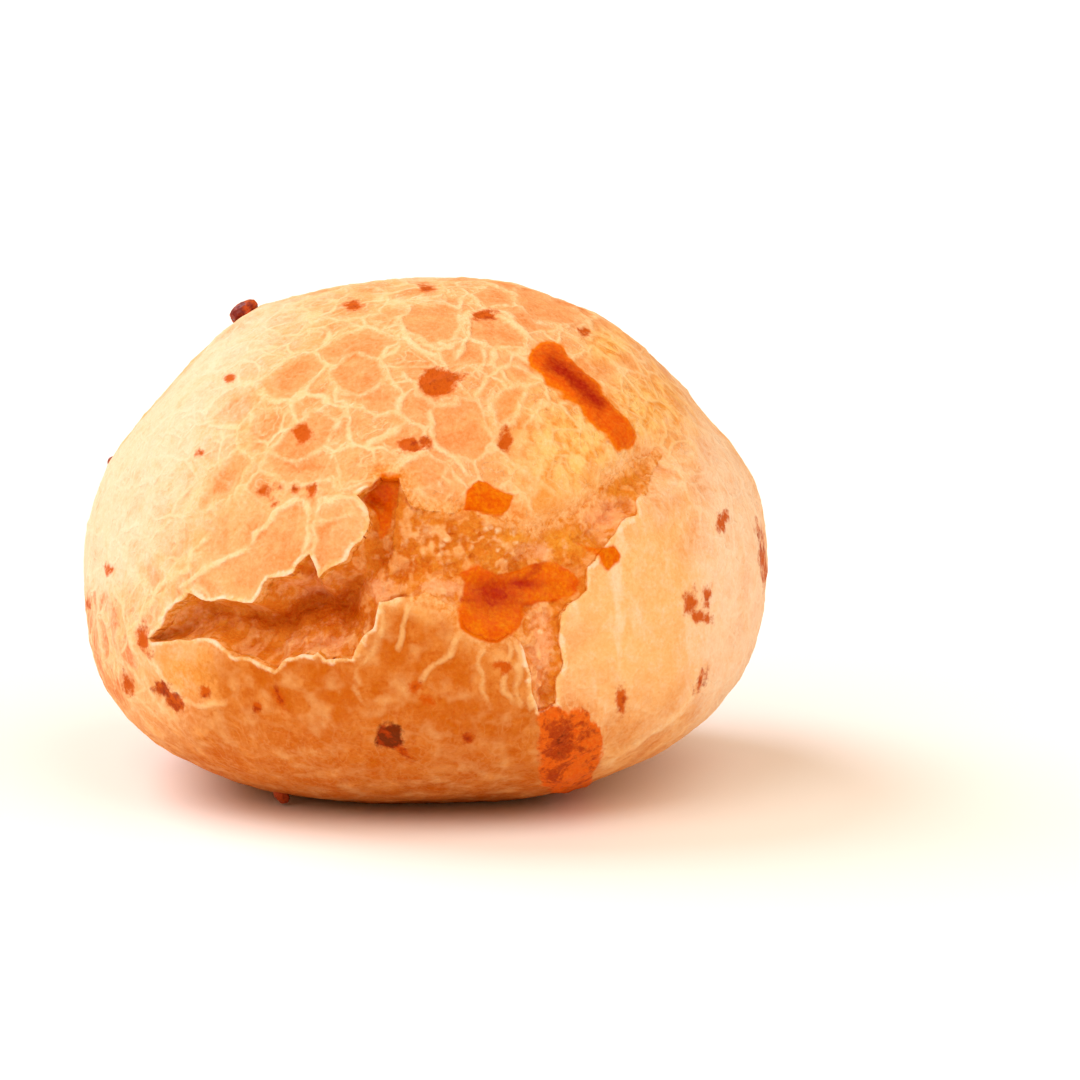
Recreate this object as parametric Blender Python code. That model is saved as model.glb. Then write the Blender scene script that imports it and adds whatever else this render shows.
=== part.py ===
"""Cheese bread roll: a small round of cheese dough that puffed up in the oven and tore open along one side.

The roll is one solid. It rests on a flat base and its torn side faces -Y. The origin is the middle of the base.
Sizes here are in millimetres, and MM turns them into Blender's metres when the mesh is made.

The tear, its lips and the pools of cheese are laid out on the show face: a drawing plane that leans back by
FACE_LEAN, where "across" runs along +X and "up" runs up the face from the middle of the base.
"""

import math

import bmesh
import bpy
import numpy as np
from mathutils import Vector, noise

NAME = "cheese_bread_roll"
NODE = "bun"
MM = 0.001

# Driving dimensions of the baked body, in millimetres.
HALF_WIDTH = 30.0
HALF_DEPTH = 28.5
WAIST_LEVEL = 16.2
DOME_RISE = 27.4
BELLY_DROP = 17.0
DOME_FULLNESS = 2.05
BELLY_FULLNESS = 2.5
BASE_SQUARENESS = 2.6
WAIST_BLEND = 0.3

# Broad swells and hollows: azimuth and elevation from the waist's middle, spread (all in degrees) and height.
SWELLS = [
    (0, 74, 10, 0.5),
    (0, 56, 9, 0.4),
    (0, 36, 9, -0.4),
    (0, 17, 12, 0.6),
    (-12, -34, 24, -1.2),
    (12, -34, 24, -0.9),
    (180, 60, 9, 0.8),
    (180, 38, 11, -0.6),
    (180, -14, 16, -0.6),
    (188, -36, 18, -0.7),
    (70, 25, 26, 0.7),
    (120, 10, 20, -0.5),
    (45, -5, 18, 0.5),
    (100, 58, 16, -0.4),
]
UNDULATION_HEIGHT = 0.22
UNDULATION_LENGTH = 9.0

# The show face, in degrees and millimetres.
FACE_LEAN = 10.0

# The gash at the left of the tear: its upper and lower lips, left to right.
UPPER_LIP = [
    (-22.9, 12.5),
    (-21.6, 12.9),
    (-20.2, 14.5),
    (-18.7, 16.0),
    (-16.5, 15.5),
    (-13.1, 15.3),
    (-11.6, 17.2),
    (-9.9, 17.8),
    (-8.5, 19.2),
    (-7.6, 17.4),
    (-6.1, 18.7),
    (-4.5, 20.1),
    (-3.7, 22.0),
    (-4.7, 23.8),
    (-2.9, 25.3),
    (-1.4, 25.2),
]
LOWER_LIP = [
    (-22.6, 11.7),
    (-21.2, 11.9),
    (-17.2, 12.4),
    (-15.4, 11.3),
    (-11.6, 9.8),
    (-10.3, 10.8),
    (-8.1, 11.4),
    (-7.4, 10.6),
    (-5.3, 11.0),
    (-3.6, 13.1),
    (-2.9, 15.3),
]

# The rest of the tear: its upper edge from the gash to the right, and its lower edge back to the gash.
TEAR_TOP = [
    (-0.6, 23.0),
    (2.7, 22.8),
    (6.9, 22.2),
    (10.0, 20.9),
    (12.1, 21.9),
    (14.2, 22.7),
    (17.1, 25.8),
    (19.3, 27.4),
    (20.6, 27.9),
]
TEAR_BOTTOM = [
    (19.3, 25.6),
    (18.0, 22.6),
    (16.0, 20.5),
    (14.2, 18.2),
    (14.1, 16.3),
    (12.0, 14.4),
    (11.9, 9.7),
    (11.6, 6.6),
    (10.2, 6.2),
    (9.1, 9.5),
    (8.8, 12.2),
    (8.0, 13.2),
    (5.7, 12.8),
    (3.6, 14.6),
    (0.9, 16.2),
    (-0.7, 15.9),
]
GASH = UPPER_LIP + LOWER_LIP[::-1]
TEAR = UPPER_LIP + TEAR_TOP + TEAR_BOTTOM + LOWER_LIP[::-1]

# How the tear is cut into the body.
CRUST_THICKNESS = 0.9
CRUST_EDGE = 0.5
GASH_DEPTH = 4.4
GASH_ROOF_SLOPE = 2.8
GASH_FLOOR_SLOPE = 0.85
GASH_ROUNDING = 0.9
# At its right end the gash runs out into the shallower tear: where that starts, over what run and by what share.
GASH_FADE_START = -6.5
GASH_FADE_RUN = 4.5
GASH_FADE_SHARE = 0.85
LIP_SWELL = 0.9
LIP_SWELL_REACH = 3.2
LOWER_LIP_SWELL = 0.45
NODULE_HEIGHT = 0.35
NODULE_LENGTH = 1.3

# Grooves in the tear: a line on the show face, half width and depth.
GROOVES = [
    ([(9.0, 18.2), (12.1, 21.5), (14.6, 22.8), (17.1, 25.5), (20.2, 27.8)], 1.8, 1.3),
    ([(10.3, 14.6), (10.6, 10.4), (10.9, 6.4)], 1.3, 0.9),
    ([(-2.6, 20.0), (0.5, 19.4), (3.6, 18.6)], 2.2, 0.8),
]

# Dishes in the tear that melted cheese fills: middle on the show face, half width and depth.
MELT_DISHES = [((7.2, 16.0), 2.8, 0.9), ((12.2, 17.2), 1.8, 0.5)]

# Toasted lumps that stand out: azimuth, elevation, half length and half width in degrees, and height.
LUMPS = [
    (169.0, 56.8, 3.0, 1.9, 1.3),
    (-131.5, -40.0, 3.4, 2.6, 0.7),
    (-62.0, -27.0, 8.0, 7.0, 0.45),
]

# Mesh fineness: how many times the sphere is split all over, how far from the lips the two finer zones reach
# in millimetres, and how many degrees past a lump.
SPHERE_SPLITS = 5
FINE_REACH = 3.4
FINEST_REACH = 0.7
FINE_LUMP_MARGIN = 3.0
FINEST_LUMP_MARGIN = 0.8


def unit_vector(azimuth, elevation):
    """Unit vector at an azimuth and an elevation in degrees."""
    turn = math.radians(azimuth)
    rise = math.radians(elevation)
    return np.array([math.cos(turn) * math.cos(rise), math.sin(turn) * math.cos(rise), math.sin(rise)])


def angle_from(directions, axis):
    """Angle in degrees between each direction and an axis."""
    return np.degrees(np.arccos(np.clip(directions @ axis, -1.0, 1.0)))


def smooth_step(value):
    """Eases from 0 to 1 as the value goes from 0 to 1."""
    t = np.clip(value, 0.0, 1.0)
    return t * t * (3.0 - 2.0 * t)


def body_radius(directions):
    """Distance from the waist's middle to the smooth body, in each direction."""
    below = np.clip(-1.2 * directions[:, 2], 0.0, 1.0)
    squareness = 2.0 + (BASE_SQUARENESS - 2.0) * below
    side = np.abs(directions[:, 0]) / HALF_WIDTH
    front = np.abs(directions[:, 1]) / HALF_DEPTH
    level = (side**squareness + front**squareness) ** (1.0 / squareness)
    dome = smooth_step(0.5 + 0.5 * directions[:, 2] / WAIST_BLEND)
    reach = BELLY_DROP + (DOME_RISE - BELLY_DROP) * dome
    fullness = BELLY_FULLNESS + (DOME_FULLNESS - BELLY_FULLNESS) * dome
    radius = (level**fullness + (np.abs(directions[:, 2]) / reach) ** fullness) ** (-1.0 / fullness)
    for azimuth, elevation, spread, height in SWELLS:
        away = angle_from(directions, unit_vector(azimuth, elevation)) / spread
        radius = radius + height * np.exp(-(away**2))
    return radius


def body_points(directions, radius):
    """Points at a radius from the waist's middle, in millimetres above the base."""
    points = directions * radius[:, None]
    points[:, 2] += WAIST_LEVEL
    return points


def show_face(points):
    """Across, up and whether the point is on the front of the show face."""
    lean = math.radians(FACE_LEAN)
    across = points[:, 0]
    up = points[:, 2] * math.cos(lean) + points[:, 1] * math.sin(lean)
    return across, up, points[:, 1] < 0.0


def distance_to_line(across, up, line):
    """Shortest distance on the show face to an open line."""
    nearest = np.full(len(across), np.inf)
    for (x0, y0), (x1, y1) in zip(line[:-1], line[1:]):
        run = np.array([x1 - x0, y1 - y0])
        along = ((across - x0) * run[0] + (up - y0) * run[1]) / (run @ run)
        along = np.clip(along, 0.0, 1.0)
        gap = np.hypot(across - x0 - along * run[0], up - y0 - along * run[1])
        nearest = np.minimum(nearest, gap)
    return nearest


def distance_inside(across, up, outline):
    """Distance on the show face to a closed outline, positive inside it."""
    inside = np.zeros(len(across), bool)
    for (x0, y0), (x1, y1) in zip(outline, outline[1:] + outline[:1]):
        crosses = (y0 > up) != (y1 > up)
        if y1 != y0:
            at = x0 + (up - y0) * (x1 - x0) / (y1 - y0)
            inside ^= crosses & (across < at)
    gap = distance_to_line(across, up, outline + outline[:1])
    return np.where(inside, gap, -gap)


def soft_least(a, b, rounding):
    """The smaller of two values, with the corner between them rounded."""
    blend = np.clip(0.5 + 0.5 * (b - a) / rounding, 0.0, 1.0)
    return b + (a - b) * blend - rounding * blend * (1.0 - blend)


def gash_depth(across, up):
    """Depth of the gash: steep under its upper lip, sloping up to its lower lip, shallow at its right end."""
    roof = GASH_ROOF_SLOPE * distance_to_line(across, up, UPPER_LIP)
    floor = GASH_FLOOR_SLOPE * distance_to_line(across, up, LOWER_LIP)
    hollow = soft_least(soft_least(roof, floor, GASH_ROUNDING), GASH_DEPTH, GASH_ROUNDING)
    inside = distance_inside(across, up, GASH) > 0.0
    fade = 1.0 - GASH_FADE_SHARE * smooth_step((across - GASH_FADE_START) / GASH_FADE_RUN)
    return np.where(inside, np.maximum(hollow, 0.0), 0.0) * fade


def lip_swell(across, up):
    """How far the crust swells out above and below the gash."""
    upper = np.exp(-((distance_to_line(across, up, UPPER_LIP) / LIP_SWELL_REACH) ** 2))
    lower = np.exp(-((distance_to_line(across, up, LOWER_LIP) / LIP_SWELL_REACH) ** 2))
    return np.maximum(LIP_SWELL * upper, LOWER_LIP_SWELL * lower)


def wave(points, length, octaves=2):
    """Smooth irregular waves of about one length, from -1 to 1."""
    return np.array([noise.fractal(Vector(p) / length, 1.0, 2.0, octaves) for p in points])


def relief(points):
    """How far each body point moves in or out for the tear, its lips and the waves of the crust."""
    across, up, front = show_face(points)
    torn = distance_inside(across, up, TEAR)
    bed = smooth_step(torn / CRUST_EDGE)
    change = lip_swell(across, up) * (1.0 - bed)
    change -= CRUST_THICKNESS * bed
    change -= gash_depth(across, up)
    for line, half_width, depth in GROOVES:
        away = distance_to_line(across, up, line) / half_width
        change -= depth * np.exp(-(away**2))
    for middle, half_width, depth in MELT_DISHES:
        away = np.hypot(across - middle[0], up - middle[1]) / half_width
        change -= depth * np.exp(-(away**2))
    change += NODULE_HEIGHT * wave(points, NODULE_LENGTH) * bed
    return np.where(front, change, 0.0) + UNDULATION_HEIGHT * wave(points, UNDULATION_LENGTH)


def lump_height(directions):
    """Height of the toasted lumps, each an oval longer along its parallel."""
    height = np.zeros(len(directions))
    for azimuth, elevation, half_length, half_width, rise in LUMPS:
        axis = unit_vector(azimuth, elevation)
        along = unit_vector(azimuth + 90.0, 0.0)
        across = np.cross(axis, along)
        away = np.hypot(
            np.degrees(directions @ along) / half_length,
            np.degrees(directions @ across) / half_width,
        )
        near = directions @ axis > 0.0
        height += np.where(near, rise * (1.0 - smooth_step(away)), 0.0)
    return height


def roll_points(directions):
    """Points of the roll's surface in millimetres, with the base flattened at height zero."""
    radius = body_radius(directions)
    radius = radius + relief(body_points(directions, radius)) + lump_height(directions)
    points = body_points(directions, radius)
    points[:, 2] = np.maximum(points[:, 2], 0.0)
    return points


def centre_on_base(points):
    """Moves the points sideways so that the middle of their box is over the origin."""
    middle = 0.5 * (points.min(axis=0) + points.max(axis=0))
    return points - np.array([middle[0], middle[1], 0.0])


def split_faces(bm, wanted):
    """Splits each wanted face in four and puts the new vertices back on the unit sphere."""
    edges = {edge for face in wanted for edge in face.edges}
    bmesh.ops.subdivide_edges(bm, edges=list(edges), cuts=1, use_grid_fill=True)
    bmesh.ops.triangulate(bm, faces=[face for face in bm.faces if len(face.verts) > 3])
    for vertex in bm.verts:
        vertex.co.normalize()


def faces_near_features(bm, reach, lump_margin):
    """Faces within a reach of the tear's lips, and those within a margin of a lump."""
    bm.faces.ensure_lookup_table()
    middles = np.array([face.calc_center_median().normalized() for face in bm.faces])
    across, up, front = show_face(body_points(middles, body_radius(middles)))
    near = front & (distance_to_line(across, up, TEAR + TEAR[:1]) < reach)
    for azimuth, elevation, half_length, _, _ in LUMPS:
        near |= angle_from(middles, unit_vector(azimuth, elevation)) < half_length + lump_margin
    return [bm.faces[i] for i in np.flatnonzero(near)]


def roll_mesh():
    """Mesh of the roll: a sphere split more finely at the tear, pushed out to the roll's surface."""
    bm = bmesh.new()
    bmesh.ops.create_icosphere(bm, subdivisions=SPHERE_SPLITS, radius=1.0)
    split_faces(bm, faces_near_features(bm, FINE_REACH, FINE_LUMP_MARGIN))
    split_faces(bm, faces_near_features(bm, FINEST_REACH, FINEST_LUMP_MARGIN))
    directions = np.array([vertex.co for vertex in bm.verts])
    points = centre_on_base(roll_points(directions)) * MM
    for vertex, point in zip(bm.verts, points):
        vertex.co = point
    bmesh.ops.recalc_face_normals(bm, faces=bm.faces)
    mesh = bpy.data.meshes.new(NODE)
    bm.to_mesh(mesh)
    bm.free()
    mesh.shade_smooth()
    return mesh


def crust_material():
    """Browned cheese dough: pale orange-tan and softly dull."""
    material = bpy.data.materials.new("crust")
    material.use_nodes = True
    shader = material.node_tree.nodes["Principled BSDF"]
    shader.inputs["Base Color"].default_value = (0.86, 0.50, 0.24, 1.0)
    shader.inputs["Roughness"].default_value = 0.55
    shader.inputs["Metallic"].default_value = 0.0
    return material


def build():
    """Makes the roll in a collection named for it."""
    for thing in list(bpy.data.objects):
        bpy.data.objects.remove(thing)
    collection = bpy.data.collections.new(NAME)
    bpy.context.scene.collection.children.link(collection)
    roll = bpy.data.objects.new(NODE, roll_mesh())
    roll.data.materials.append(crust_material())
    collection.objects.link(roll)


build()
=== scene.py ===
"""Looks of the cheese bread roll: blistered crust, torn crumb, melted cheese, toasted flecks and studio.

Lengths are millimetres, and MM turns them into metres when a mesh is made. The shape of the body repeats
the CAD part's. The tear, the cheese and the flecks are laid out on the show face: a drawing plane that leans
back by FACE_LEAN, where "across" runs along +X and "up" runs up the face from the middle of the base.
"""

import math

import bmesh
import bpy
import numpy as np
from mathutils import Matrix, Vector, kdtree, noise


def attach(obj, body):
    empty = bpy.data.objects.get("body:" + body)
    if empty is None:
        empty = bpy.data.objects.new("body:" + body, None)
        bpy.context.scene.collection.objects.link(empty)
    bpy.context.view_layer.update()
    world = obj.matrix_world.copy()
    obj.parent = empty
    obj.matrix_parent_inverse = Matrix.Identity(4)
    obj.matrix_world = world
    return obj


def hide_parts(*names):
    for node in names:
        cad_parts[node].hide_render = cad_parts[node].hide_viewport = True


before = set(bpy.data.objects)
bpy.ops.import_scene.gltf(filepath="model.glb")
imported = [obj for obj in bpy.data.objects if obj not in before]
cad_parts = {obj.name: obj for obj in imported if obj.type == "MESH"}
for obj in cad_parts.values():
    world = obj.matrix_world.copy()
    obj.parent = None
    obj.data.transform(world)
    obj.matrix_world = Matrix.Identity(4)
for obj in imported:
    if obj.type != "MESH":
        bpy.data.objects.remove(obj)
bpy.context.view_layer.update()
MM = 0.001

# ---------------- body, as in the CAD part
HALF_WIDTH = 30.0
HALF_DEPTH = 28.5
WAIST_LEVEL = 16.2
DOME_RISE = 27.4
BELLY_DROP = 17.0
DOME_FULLNESS = 2.05
BELLY_FULLNESS = 2.5
BASE_SQUARENESS = 2.6
WAIST_BLEND = 0.3
SWELLS = [  # azimuth, elevation, spread in degrees, height
    (0, 74, 10, 0.5),
    (0, 56, 9, 0.4),
    (0, 36, 9, -0.4),
    (0, 17, 12, 0.6),
    (-12, -34, 24, -1.2),
    (12, -34, 24, -0.9),
    (180, 60, 9, 0.8),
    (180, 38, 11, -0.6),
    (180, -14, 16, -0.6),
    (188, -36, 18, -0.7),
    (70, 25, 26, 0.7),
    (120, 10, 20, -0.5),
    (45, -5, 18, 0.5),
    (100, 58, 16, -0.4),
]
UNDULATION_HEIGHT = 0.22
UNDULATION_LENGTH = 9.0
FACE_LEAN = 10.0

# ---------------- the tear, on the show face
UPPER_LIP = [
    (-21.9, 12.6), (-21.0, 13.3), (-20.2, 14.5), (-18.7, 16.0), (-16.5, 15.5), (-13.1, 15.3),
    (-11.6, 17.2), (-9.9, 17.8), (-8.5, 19.2), (-7.6, 17.4), (-6.1, 18.7), (-4.5, 20.1),
    (-3.7, 22.0), (-4.7, 23.8), (-2.9, 25.3), (-1.4, 25.2),
]
LOWER_LIP = [
    (-21.7, 12.2), (-20.4, 12.1), (-17.2, 12.4), (-15.4, 11.3), (-11.6, 9.8), (-10.3, 10.8),
    (-8.1, 11.4), (-7.4, 10.6), (-5.3, 11.0), (-3.6, 13.1), (-2.9, 15.3),
]
TEAR_TOP = [
    (-0.6, 23.0), (2.7, 22.8), (6.9, 22.2), (10.0, 20.9), (12.1, 21.9), (14.2, 22.7), (17.1, 25.8),
    (19.3, 27.4), (20.6, 27.9),
]
PLATE_EDGE = [
    (19.3, 25.6), (18.0, 22.6), (16.0, 20.5), (14.2, 18.2), (14.1, 16.3), (12.0, 14.4), (11.9, 9.7),
    (11.6, 6.6),
]
STRIP_EDGE = [(10.2, 6.2), (9.1, 9.5), (8.8, 12.2), (8.0, 13.2)]
CRUMB_BOTTOM = [(5.7, 12.8), (3.6, 14.6), (0.9, 16.2), (-0.7, 15.9)]
GASH = UPPER_LIP + LOWER_LIP[::-1]
TEAR = UPPER_LIP + TEAR_TOP + PLATE_EDGE + STRIP_EDGE + CRUMB_BOTTOM + LOWER_LIP[::-1]
GASH_DEPTH = 4.4
GASH_ROOF_SLOPE = 1.7
GASH_FLOOR_SLOPE = 1.05
GASH_ROUNDING = 0.9
GASH_FADE_START = -6.5
GASH_FADE_RUN = 4.5
GASH_FADE_SHARE = 0.85
LIP_SWELL = 0.9
LIP_SWELL_REACH = 3.2
LOWER_LIP_SWELL = 0.45
GROOVES = [  # line, half width, depth
    ([(9.0, 18.2), (12.1, 21.5), (14.6, 22.8), (17.1, 25.5), (20.2, 27.8)], 1.8, 1.3),
    ([(10.3, 14.6), (10.6, 10.4), (10.9, 6.4)], 1.3, 0.25),
    ([(-2.6, 20.0), (0.5, 19.4), (3.6, 18.6)], 2.2, 0.8),
]
MELT_DISHES = [((7.2, 16.0), 2.8, 0.9), ((12.2, 17.2), 1.8, 0.5)]
# The scorched leak's swelling: azimuth, elevation, half length and half width in degrees, height.
LEAK_SWELLING = (-62.0, -27.0, 8.0, 7.0, 0.45)

# The tear's edge wanders a little, its lip stands up, and the crust then dives under the crumb.
EDGE_WANDER = 0.42
EDGE_WANDER_LENGTH = 1.5
EDGE_WANDER_SEED = 80  # without a seed the wander would change from run to run
noise.seed_set(EDGE_WANDER_SEED)
LIP_RISE = 0.15
LIP_RISE_REACH = 0.45
DIVE_DEPTH = 3.2
DIVE_RUN = 0.03
# The crumb lies deeper than the crust, reached over a short run at sharp lips and a long one at frayed ones.
# At frayed edges it laps a little over the crust, and then ends below it.
CRUMB_DEEP = 0.75
SHARP_SINK_RUN = 0.8
SOFT_SINK_RUN = 2.6
CRUMB_PROUD = 0.07
CRUMB_END = 2.5
CRUMB_MARGIN = 1.5

# Raised rims of the crust plates on the show face: their line and how strong they are.
RIMS = [
    ([(-19.2, 16.3), (-18.0, 17.5), (-16.8, 18.3), (-15.4, 19.0), (-13.8, 19.5)], 1.0),
    ([(-13.6, 20.3), (-12.4, 21.7), (-11.5, 22.8), (-10.5, 23.5), (-9.2, 23.7)], 1.0),
    ([(-9.1, 23.8), (-8.8, 22.2), (-8.8, 20.4), (-9.0, 19.0)], 0.9),
    ([(-8.1, 24.2), (-8.1, 22.2), (-8.2, 20.2), (-8.1, 18.4)], 0.8),
    ([(-8.1, 23.5), (-6.5, 23.7), (-5.0, 23.4), (-4.3, 22.4)], 0.9),
    ([(-8.0, 22.0), (-6.3, 21.9), (-4.7, 22.2)], 0.7),
    ([(-22.9, 14.3), (-21.8, 15.6), (-20.8, 16.9), (-19.8, 17.6)], 0.9),
    ([(-20.4, 16.5), (-19.0, 18.0), (-18.2, 19.5), (-17.1, 20.8)], 0.9),
    ([(-20.6, 19.0), (-19.9, 21.0), (-18.7, 22.8), (-17.5, 24.8)], 0.5),
    ([(-22.4, 21.0), (-21.2, 23.0), (-19.9, 24.8)], 0.45),
    ([(-26.0, 17.5), (-25.8, 16.0), (-25.0, 15.2), (-24.5, 13.9), (-23.9, 12.6), (-23.3, 10.9)], 0.9),
    ([(-27.3, 16.6), (-27.4, 14.0), (-27.3, 11.6), (-26.7, 9.4)], 0.8),
    ([(-26.0, 16.4), (-26.3, 14.4), (-26.0, 12.4), (-25.6, 10.2), (-24.8, 7.4)], 0.7),
    ([(-27.3, 14.0), (-26.2, 13.6), (-25.2, 13.8)], 0.6),
    ([(-27.2, 11.4), (-26.0, 11.2), (-24.8, 10.6)], 0.6),
    ([(-23.3, 10.9), (-23.0, 9.2), (-22.6, 7.2), (-21.4, 5.6)], 0.7),
    ([(-2.9, 12.4), (-4.6, 10.2), (-5.0, 8.2), (-4.2, 6.6)], 0.5),
    ([(0.3, 9.0), (-1.4, 7.6), (-3.6, 7.0)], 0.4),
    ([(-25.3, 12.6), (-25.2, 10.4), (-24.6, 8.6)], 0.7),
    ([(-21.9, 11.3), (-21.8, 9.6), (-21.1, 8.2), (-20.0, 7.0), (-18.2, 6.6), (-16.0, 7.0)], 0.8),
    ([(-2.9, 15.5), (-2.6, 13.6), (-2.9, 12.4)], 0.7),
    ([(-0.8, 15.3), (-1.1, 13.6), (-1.3, 11.6)], 1.0),
    ([(3.7, 14.2), (3.8, 12.7), (2.6, 11.1), (1.3, 9.9), (0.3, 9.0)], 0.9),
    ([(4.6, 12.4), (5.4, 11.4), (5.0, 10.0), (5.5, 8.4), (6.2, 6.8)], 0.7),
    ([(7.6, 12.6), (7.6, 10.6), (7.2, 8.9), (7.7, 6.8)], 0.8),
    ([(8.3, 12.0), (8.6, 10.6), (9.4, 9.2), (9.9, 7.7), (9.3, 6.3)], 1.0),
    ([(8.5, 10.6), (8.3, 8.6), (8.6, 6.6)], 0.7),
    ([(15.4, 1.2), (17.6, 2.8), (19.6, 4.1), (22.1, 6.0), (23.0, 8.0)], 0.7),
    ([(20.6, 27.9), (21.6, 26.8), (23.4, 26.0), (25.2, 26.6)], 0.7),
    ([(-1.6, 38.8), (-0.8, 37.4), (0.4, 36.3), (1.9, 35.7)], 1.0),
    ([(4.1, 40.2), (4.3, 38.6), (3.9, 37.1), (3.2, 35.6)], 0.9),
    ([(6.2, 40.0), (7.5, 39.3), (8.6, 38.2), (9.5, 37.5)], 0.9),
    ([(5.4, 37.4), (5.7, 36.0), (5.0, 34.6)], 0.7),
    ([(6.4, 33.3), (6.2, 31.5), (6.9, 29.8)], 0.7),
    ([(9.4, 33.5), (8.6, 31.9), (8.2, 30.2), (7.4, 29.9)], 0.8),
    ([(1.4, 31.6), (1.2, 29.4), (2.0, 28.0), (3.4, 27.1), (4.5, 26.0)], 0.9),
    ([(1.2, 28.2), (-0.7, 27.0), (-1.4, 25.7)], 0.9),
    ([(-1.2, 34.6), (0.0, 32.6), (1.6, 31.8), (3.6, 32.0)], 0.7),
]
RIM_WIDTH = 0.32
RIM_TAPER = 1.2
PLATE_RIM = 0.6
RIM_HEIGHT = 0.15
# Smooth tan plates of the dome, each an outline on the show face with a raised rim.
DOME_PLATES = [
    [
        (-1.8, 38.9), (-0.7, 40.6), (1.7, 40.9), (3.4, 40.1), (3.5, 38.4), (2.5, 37.2), (1.1, 36.9),
        (-0.7, 38.0),
    ],
    [(8.1, 42.4), (10.2, 42.5), (12.9, 41.2), (13.8, 39.6), (11.7, 38.6), (9.3, 39.3), (8.1, 40.9)],
    [(1.0, 30.9), (2.0, 32.2), (5.0, 32.1), (5.8, 30.3), (6.6, 28.5), (5.0, 26.9), (2.5, 27.8), (1.1, 29.4)],
    [(6.2, 32.1), (7.5, 33.3), (9.0, 33.6), (8.7, 32.1), (8.1, 30.9), (6.9, 29.7), (6.1, 30.9)],
    [(-1.8, 26.0), (-1.0, 27.2), (1.1, 27.4), (2.5, 26.3), (1.7, 24.8), (-0.7, 24.2)],
    [(-7.6, 34.6), (-5.6, 36.4), (-3.0, 35.6), (-2.6, 33.8), (-4.8, 32.6), (-7.0, 33.0)],
    [(-12.6, 27.8), (-10.8, 29.8), (-8.6, 31.2), (-6.6, 30.4), (-7.4, 28.2), (-10.0, 26.6)],
]
# Patches on the show face: across, up, half width, half height, strength.
DEEPER_PATCHES = [
    (1.0, 12.0, 4.5, 3.2, 0.35),
    (-9.2, 18.6, 2.4, 1.6, 0.35),
    (-8.5, 10.4, 5.0, 2.2, 0.3),
    (-7.5, 4.5, 5.0, 4.0, 0.3),
    (-1.4, 13.3, 2.5, 1.6, 0.3),
    (14.5, 9.5, 3.5, 6.0, 0.14),
]
GOLDEN_PATCHES = [(13.5, 28.0, 5.5, 5.5, 1.0), (19.6, 31.6, 4.2, 3.6, 1.0), (16.0, 37.2, 2.0, 1.6, 1.0)]
PLATE_PATCHES = [(18.5, 14.5, 6.5, 9.5, 1.0), (-18.6, 9.4, 3.6, 2.2, 1.0)]
AMBER_PATCHES = [(-18.6, 9.4, 3.6, 2.2, 1.0), (10.6, 23.9, 1.6, 1.8, 0.8)]
PALE_PATCHES = [(20.5, 25.0, 3.5, 3.5, 0.5)]
# Tanned patches; the two just above the gash's upper lip are painted shade.
TANNED_AND_SHADED_PATCHES = [
    (-10.0, 19.6, 5.5, 3.4, 1.0),
    (0.5, 30.0, 9.0, 8.5, 0.75),
    (-8.5, 30.0, 5.5, 7.5, 0.6),
    (-14.0, 19.0, 3.5, 2.2, 0.6),
]
FLAT_PATCHES = [
    (-11.0, 19.6, 8.5, 4.6, 1.0),
    (3.5, 10.0, 8.0, 5.0, 1.0),
    (-15.0, 9.0, 8.0, 3.6, 1.0),
    (-8.0, 8.0, 6.0, 3.0, 1.0),
]
SLANTED_PATCHES = [(-19.0, 22.0, 8.5, 8.0, 1.0)]
GRAINY_PATCHES = [
    (6.9, 20.3, 2.9, 2.1, 1.0),
    (1.4, 20.6, 3.2, 2.0, 0.7),
    (-8.6, 11.7, 3.0, 1.2, 0.6),
    (-4.6, 12.6, 1.3, 1.6, 0.6),
    (10.2, 11.5, 1.2, 4.2, 0.8),
    (-19.6, 13.2, 2.4, 1.2, 0.6),
    (-5.6, 17.8, 1.8, 1.2, 0.5),
]
ROSY_PATCHES = [
    (-3.2, 16.4, 1.5, 1.1, 1.0),
    (15.8, 22.9, 2.6, 1.6, 1.0),
    (10.3, 11.5, 1.1, 4.6, 1.0),
    (-19.2, 13.5, 2.8, 1.4, 0.4),
    (-9.5, 16.6, 2.6, 1.0, 0.5),
    (2.2, 16.6, 2.4, 0.8, 1.0),
    (-8.6, 11.5, 3.0, 1.1, 0.7),
    (10.2, 19.8, 2.0, 1.0, 0.7),
]
# Painted shade on the crumb: darker inside the gash under its lips, in small hollows and along the groove at
# the right.
PAINTED_SHADE_PATCHES = [
    (-6.8, 14.2, 4.2, 1.7, 1.0),
    (-13.0, 13.6, 3.4, 0.9, 1.0),
    (-1.0, 18.4, 2.0, 1.4, 0.9),
    (2.4, 21.2, 0.9, 1.6, 0.6),
    (-2.8, 20.6, 1.0, 2.2, 0.5),
    (15.2, 25.0, 1.8, 0.8, 1.0),
    (-13.2, 11.1, 2.4, 0.8, 1.0),
]
SMOOTH_PATCHES = [
    (10.7, 23.2, 1.3, 2.2, 1.0),
    (8.8, 20.6, 1.6, 0.8, 1.0),
    (13.0, 20.6, 2.2, 1.1, 1.0),
    (-19.0, 13.8, 2.6, 1.6, 0.8),
]
STRIP_PATCHES = [(10.6, 10.0, 2.2, 4.5, 1.0)]
SCORCH_PATCHES = [(12.0, 3.9, 1.8, 1.8, 1.0), (11.0, 1.0, 0.9, 1.3, 0.7)]
MELT_CORE_PATCHES = [(6.8, 16.1, 2.4, 1.5, 1.0), (9.3, 16.9, 1.8, 0.6, 1.0), (-3.0, 24.4, 1.5, 1.2, 0.6)]
# The crust browns and darkens, partly as painted shade, from this height down, over this run; on the front
# this starts lower at both sides.
BROWN_TOP = 20.0
BROWN_TOP_DROP_RIGHT = 11.0
BROWN_TOP_DROP_LEFT = 8.0
BROWN_RUN = 13.0
BROWN_TOP_HIDDEN = 15.0
BROWN_RUN_HIDDEN = 14.0
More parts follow.
